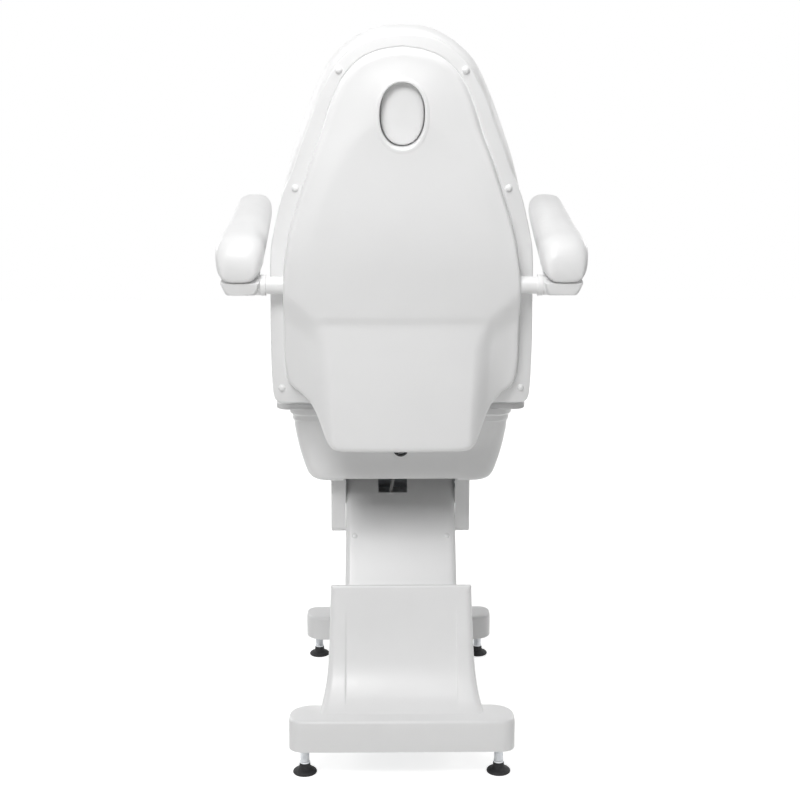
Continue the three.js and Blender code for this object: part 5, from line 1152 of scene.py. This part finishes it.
def armrest_pad(side, name):
    """Armrest pad: superellipse sections that narrow towards the front, whose size falls off at
    both ends as an ellipse does; the rear end rounds down from its top onto a full underside."""
    y = PAD_REAR + PAD_LENGTH * (0.5 - 0.5 * np.cos(np.linspace(0, math.pi, 60)))
    rear, front = (1 - np.sqrt(1 - (1 - np.clip(end, 0, 1)) ** 2)
                   for end in ((y - PAD_REAR) / 62, (PAD_REAR + PAD_LENGTH - y) / 50))
    inner, outer, under = pad_at(y)
    inner = inner - 8 * (y - PAD_REAR) / PAD_LENGTH
    x0, x1 = inner + 24 * rear + 36 * front, outer - 0.5 - 24 * rear - 36 * front
    z0 = under + 0.3 + 3 * rear + 12 * front
    z1 = PAD_TOP + 5 * (y - PAD_REAR) / PAD_LENGTH - 76 * rear - 44 * front
    first = np.array([0.3, 0.65, 1.0])
    squeeze = np.concatenate([first, np.ones(len(y) - 2), first[::-1]])
    at = np.concatenate([[0, 0], np.arange(len(y)), [-1, -1]])
    x0, x1, z0, z1, y = x0[at], x1[at], z0[at], z1[at], y[at]
    angle = np.linspace(0, TURN, 60, endpoint=False)
    ex, ez = (np.sign(part) * np.abs(part) ** PAD_POWER * squeeze[:, None]
              for part in (np.cos(angle), np.sin(angle)))
    x = ((x0 + x1)[:, None] + (x1 - x0)[:, None] * ex) / 2
    z = ((z0 + z1)[:, None] + (z1 - z0)[:, None] * ez) / 2
    made = skin(f"armrest_pad_{name}_padded", in_armrest(side * x, y[:, None] + 0 * x, z),
                caps=(True, True))

    def hold(co):
        axis = in_armrest(0.0, 0.0, 0.0) * 1000
        _, along, up = from_hinge(co, (axis[1] - ROW_Y, axis[2]), ARMREST_TILT)
        return 1 - smooth((up - pad_at(along)[2] - 3) / 14)

    return stuffed(made, 5.0, hold, 3.0, 3.0)


PADDED = [(seat_cushion(), LEATHER, "seat", "seat_cushion", 0.7),
          (back_cushion(), LEATHER, "back", "back_cushion", 0.7),
          (face_plug(), PAD_LEATHER, "face_plug", "face_plug", 0.8),
          (leg_cushion(-1), LEATHER, "leg_slide_left", "leg_cushion_left", 0.7),
          (leg_cushion(1), LEATHER, "leg_slide_right", "leg_cushion_right", 0.7),
          (armrest_pad(-1, "left"), PAD_LEATHER, "armrest_left", "armrest_pad_left", 0.9),
          (armrest_pad(1, "right"), PAD_LEATHER, "armrest_right", "armrest_pad_right", 0.9)]
for piece, material, body, node, fullness in PADDED:
    dress(piece, material, body, "upholstery", node)


# ---------------------------------------------------------------- armrests and leg rests

def housing_inside():
    """Distance from the middle to the inner side of a pad's housing, where the tube meets it."""
    return pad_at(-23.0)[0] + 8


def armrest_tube(side, name):
    """Swing tube: a turned bar with an eased end and its collar against the pad's housing."""
    end = housing_inside() - COLLAR_GAP
    profile = [(0.3, 147.5), (18.2, 147.5), (19, 148.5), (19, end - 12.6), (19.4, end - 12),
               (22, end - 12), (23, end - 11), (23, end - 1), (22, end), (0.3, end)]
    net = turned(profile, [0.8, 0.8, 0.5, 0.5, 1.0, 1.0, 1.0, 1.0],
                 lambda a, b, h: in_armrest(side * h, a, b))
    return skin(f"armrest_tube_{name}_turned", net, caps=(True, True))


def armrest_housing(side, name):
    """Housing under a pad: an eight-cornered section, eased and wider at its top, carried along
    the pad; its underside sweeps up towards the front."""
    y = np.array([-36, -34.6, -31, -26, -10, 10, 30, 50, 70, 90, 115, 140, 170, 200, 245, 290, 318,
                  324, 326], float)
    bottom = np.interp(y, [-36, -31, -26, 30, 90, 200, 326], [-9, -13, -15, -15, -5, 19, 31])
    narrow = np.interp(y, [-36, -34.6, -31, -26, 90, 200, 318, 326], [7, 3.6, 1, 0, 0, 2, 5.4, 9])
    inner, outer, under = pad_at(y)
    top = under - 0.3
    half = (under + bottom) / 2
    x0, x1 = inner + 8 + narrow, outer - 14 - narrow
    points = np.stack([np.stack(p, -1) for p in (
        (x0, top), (x1, top), (x1 - 5, half), (x1 - 11, bottom + 3), (x1 - 15, bottom),
        (x0 + 12, bottom), (x0 + 8, bottom + 3), (x0 + 3, half))], 1)
    middle = (points[:, :1] + points[:, -1:]) / 2
    closed = np.concatenate([middle, points, middle], 1)
    ring = rounded(closed, [1.5, 1.5, 4, 4, 4, 4, 4, 4], 5)[:, :-1]
    net = in_armrest(side * ring[..., 0], y[:, None] + 0 * ring[..., 0], ring[..., 1])
    start = housing_inside() - 0.2
    boss = turned([(0.3, start), (20.8, start), (21.6, start + 0.8), (21.6, start + 16),
                   (0.3, start + 16)], [0.8, 0.8, 0.5],
                  lambda a, b, h: in_armrest(side * h, a, np.minimum(b, 20)))
    return eased(several(f"armrest_housing_{name}_moulding", [net, boss]), 1.2, 30)


def leg_tray(side, name):
    """Tray under a leg cushion: round-cornered rings with a swept underside edge."""
    x = tuple(sorted((side * 12.0, side * 222.0)))
    net = pad_rings(x, (45, 505), [(13, 40), (13, 10), (21, 2), (31.6, 1), (33, 2.4), (33, 30)], 34,
                    [4, 6, 2, 0.9])
    return skin(f"leg_tray_{name}_moulding", laid(net, in_leg), caps=(True, True))


for side, name in ((-1, "left"), (1, "right")):
    dress(armrest_tube(side, name), ABS, f"armrest_{name}", "shell", f"armrest_tube_{name}")
    dress(armrest_housing(side, name), ABS, f"armrest_{name}", "shell", f"armrest_housing_{name}")
    dress(leg_tray(side, name), ABS, f"leg_slide_{name}", "shell", f"leg_tray_{name}")


# ---------------------------------------------------------------- floor, light and camera

WHITE = (1, 1, 1, 1)
FLOOR_HALF = 9.0
GLOW_NEAR, GLOW_FAR = (0.7, 0.74), (2.2, 1.0)      # metres from the middle, strength
WORLD_LIGHT, WORLD_SEEN = 0.175, 1.0
# Name, place, aim, side in metres, watts.
LAMPS = [("key_softbox", (-0.6, -2.7, 2.9), (0, -0.4, 0.95), 1.0, 46),
         ("overhead_softbox", (0, -1.5, 3.1), (0, -0.4, 0.6), 1.2, 15),
         ("left_softbox", (-2.6, -0.3, 2.0), (0, -0.3, 1.1), 1.0, 4),
         ("front_left_softbox", (-2.5, 2.3, 2.1), (0, 0, 0.8), 1.2, 28),
         ("front_right_softbox", (2.5, 2.3, 2.1), (0, 0, 0.8), 1.2, 24)]


def seen_directly(tree):
    """1 for camera, glossy and transmission rays, 0 for all others."""
    path = add(tree, "ShaderNodeLightPath")
    either = sum_of(tree, "MAXIMUM", path.outputs["Is Camera Ray"], path.outputs["Is Glossy Ray"])
    return sum_of(tree, "MAXIMUM", either, path.outputs["Is Transmission Ray"])


def studio_floor():
    """Pale floor that keeps the object's shadow and glows to white away from it."""
    line = np.linspace(-FLOOR_HALF, FLOOR_HALF, 19)
    net = np.stack(np.meshgrid(line, line, [0.0], indexing="ij"), -1)[:, :, 0]
    made = skin("studio_floor", net, around=False)
    material, tree, shader, where, colour, rough = start_surface(
        "pale_matt_floor", (300, 2), ("F2F2F1", "F5F5F4"), ((60, 3), 0.85, 0.95))
    fill(tree, shader, colour, rough, bump(tree, noise(tree, where, 3, 2), 0.05, 0.3))
    shader.inputs["Specular IOR Level"].default_value = 0.0
    away = add(tree, "ShaderNodeVectorMath", {0: where}, operation="LENGTH").outputs["Value"]
    far = ramp(tree, away, GLOW_NEAR[0], GLOW_FAR[0], GLOW_NEAR[1], GLOW_FAR[1])
    glow = add(tree, "ShaderNodeEmission", {"Color": WHITE, "Strength": far})
    both = add(tree, "ShaderNodeAddShader", {0: shader.outputs["BSDF"], 1: glow.outputs["Emission"]})
    mixed = add(tree, "ShaderNodeMixShader", {
        0: seen_directly(tree), 1: shader.outputs["BSDF"], 2: both.outputs[0]})
    output = next(n for n in tree.nodes if n.type == "OUTPUT_MATERIAL")
    tree.links.new(mixed.outputs[0], output.inputs["Surface"])
    made.data.materials.append(material)


def white_surroundings():
    """White world: full white where it is seen, a faint light for everything else."""
    world = bpy.data.worlds.new("white_studio")
    bpy.context.scene.world = world
    world.use_nodes = True
    tree = world.node_tree
    tree.nodes.clear()
    lit, seen = (add(tree, "ShaderNodeBackground", {"Color": WHITE, "Strength": strength})
                 for strength in (WORLD_LIGHT, WORLD_SEEN))
    mixed = add(tree, "ShaderNodeMixShader", {
        0: seen_directly(tree), 1: lit.outputs[0], 2: seen.outputs[0]})
    add(tree, "ShaderNodeOutputWorld", {"Surface": mixed.outputs[0]})


def softbox(name, spot, aim, size, power):
    """Square area lamp at a spot, turned to its aim."""
    lamp = bpy.data.lights.new(name, "AREA")
    lamp.shape = "SQUARE"
    lamp.size = size
    lamp.energy = power
    holder = bpy.data.objects.new(name, lamp)
    holder.location = spot
    toward = np.array(aim, float) - np.array(spot, float)
    flat = math.hypot(toward[0], toward[1])
    holder.rotation_euler = (math.pi / 2 + math.atan2(toward[2], flat), 0,
                             math.atan2(toward[1], toward[0]) - math.pi / 2)
    bpy.context.scene.collection.objects.link(holder)


studio_floor()
white_surroundings()
for lamp in LAMPS:
    softbox(*lamp)

camera = bpy.data.cameras.new("photograph_camera")
camera.lens = 64.0
camera.sensor_width = 36.0
viewpoint = bpy.data.objects.new("photograph_camera", camera)
viewpoint.location = (-0.0377, -3.6118, 1.4324)
viewpoint.rotation_euler = (math.radians(90 - 10.45), 0.0, math.radians(-0.63))
bpy.context.scene.collection.objects.link(viewpoint)
bpy.context.scene.camera = viewpoint
bpy.context.scene.view_settings.view_transform = "Standard"
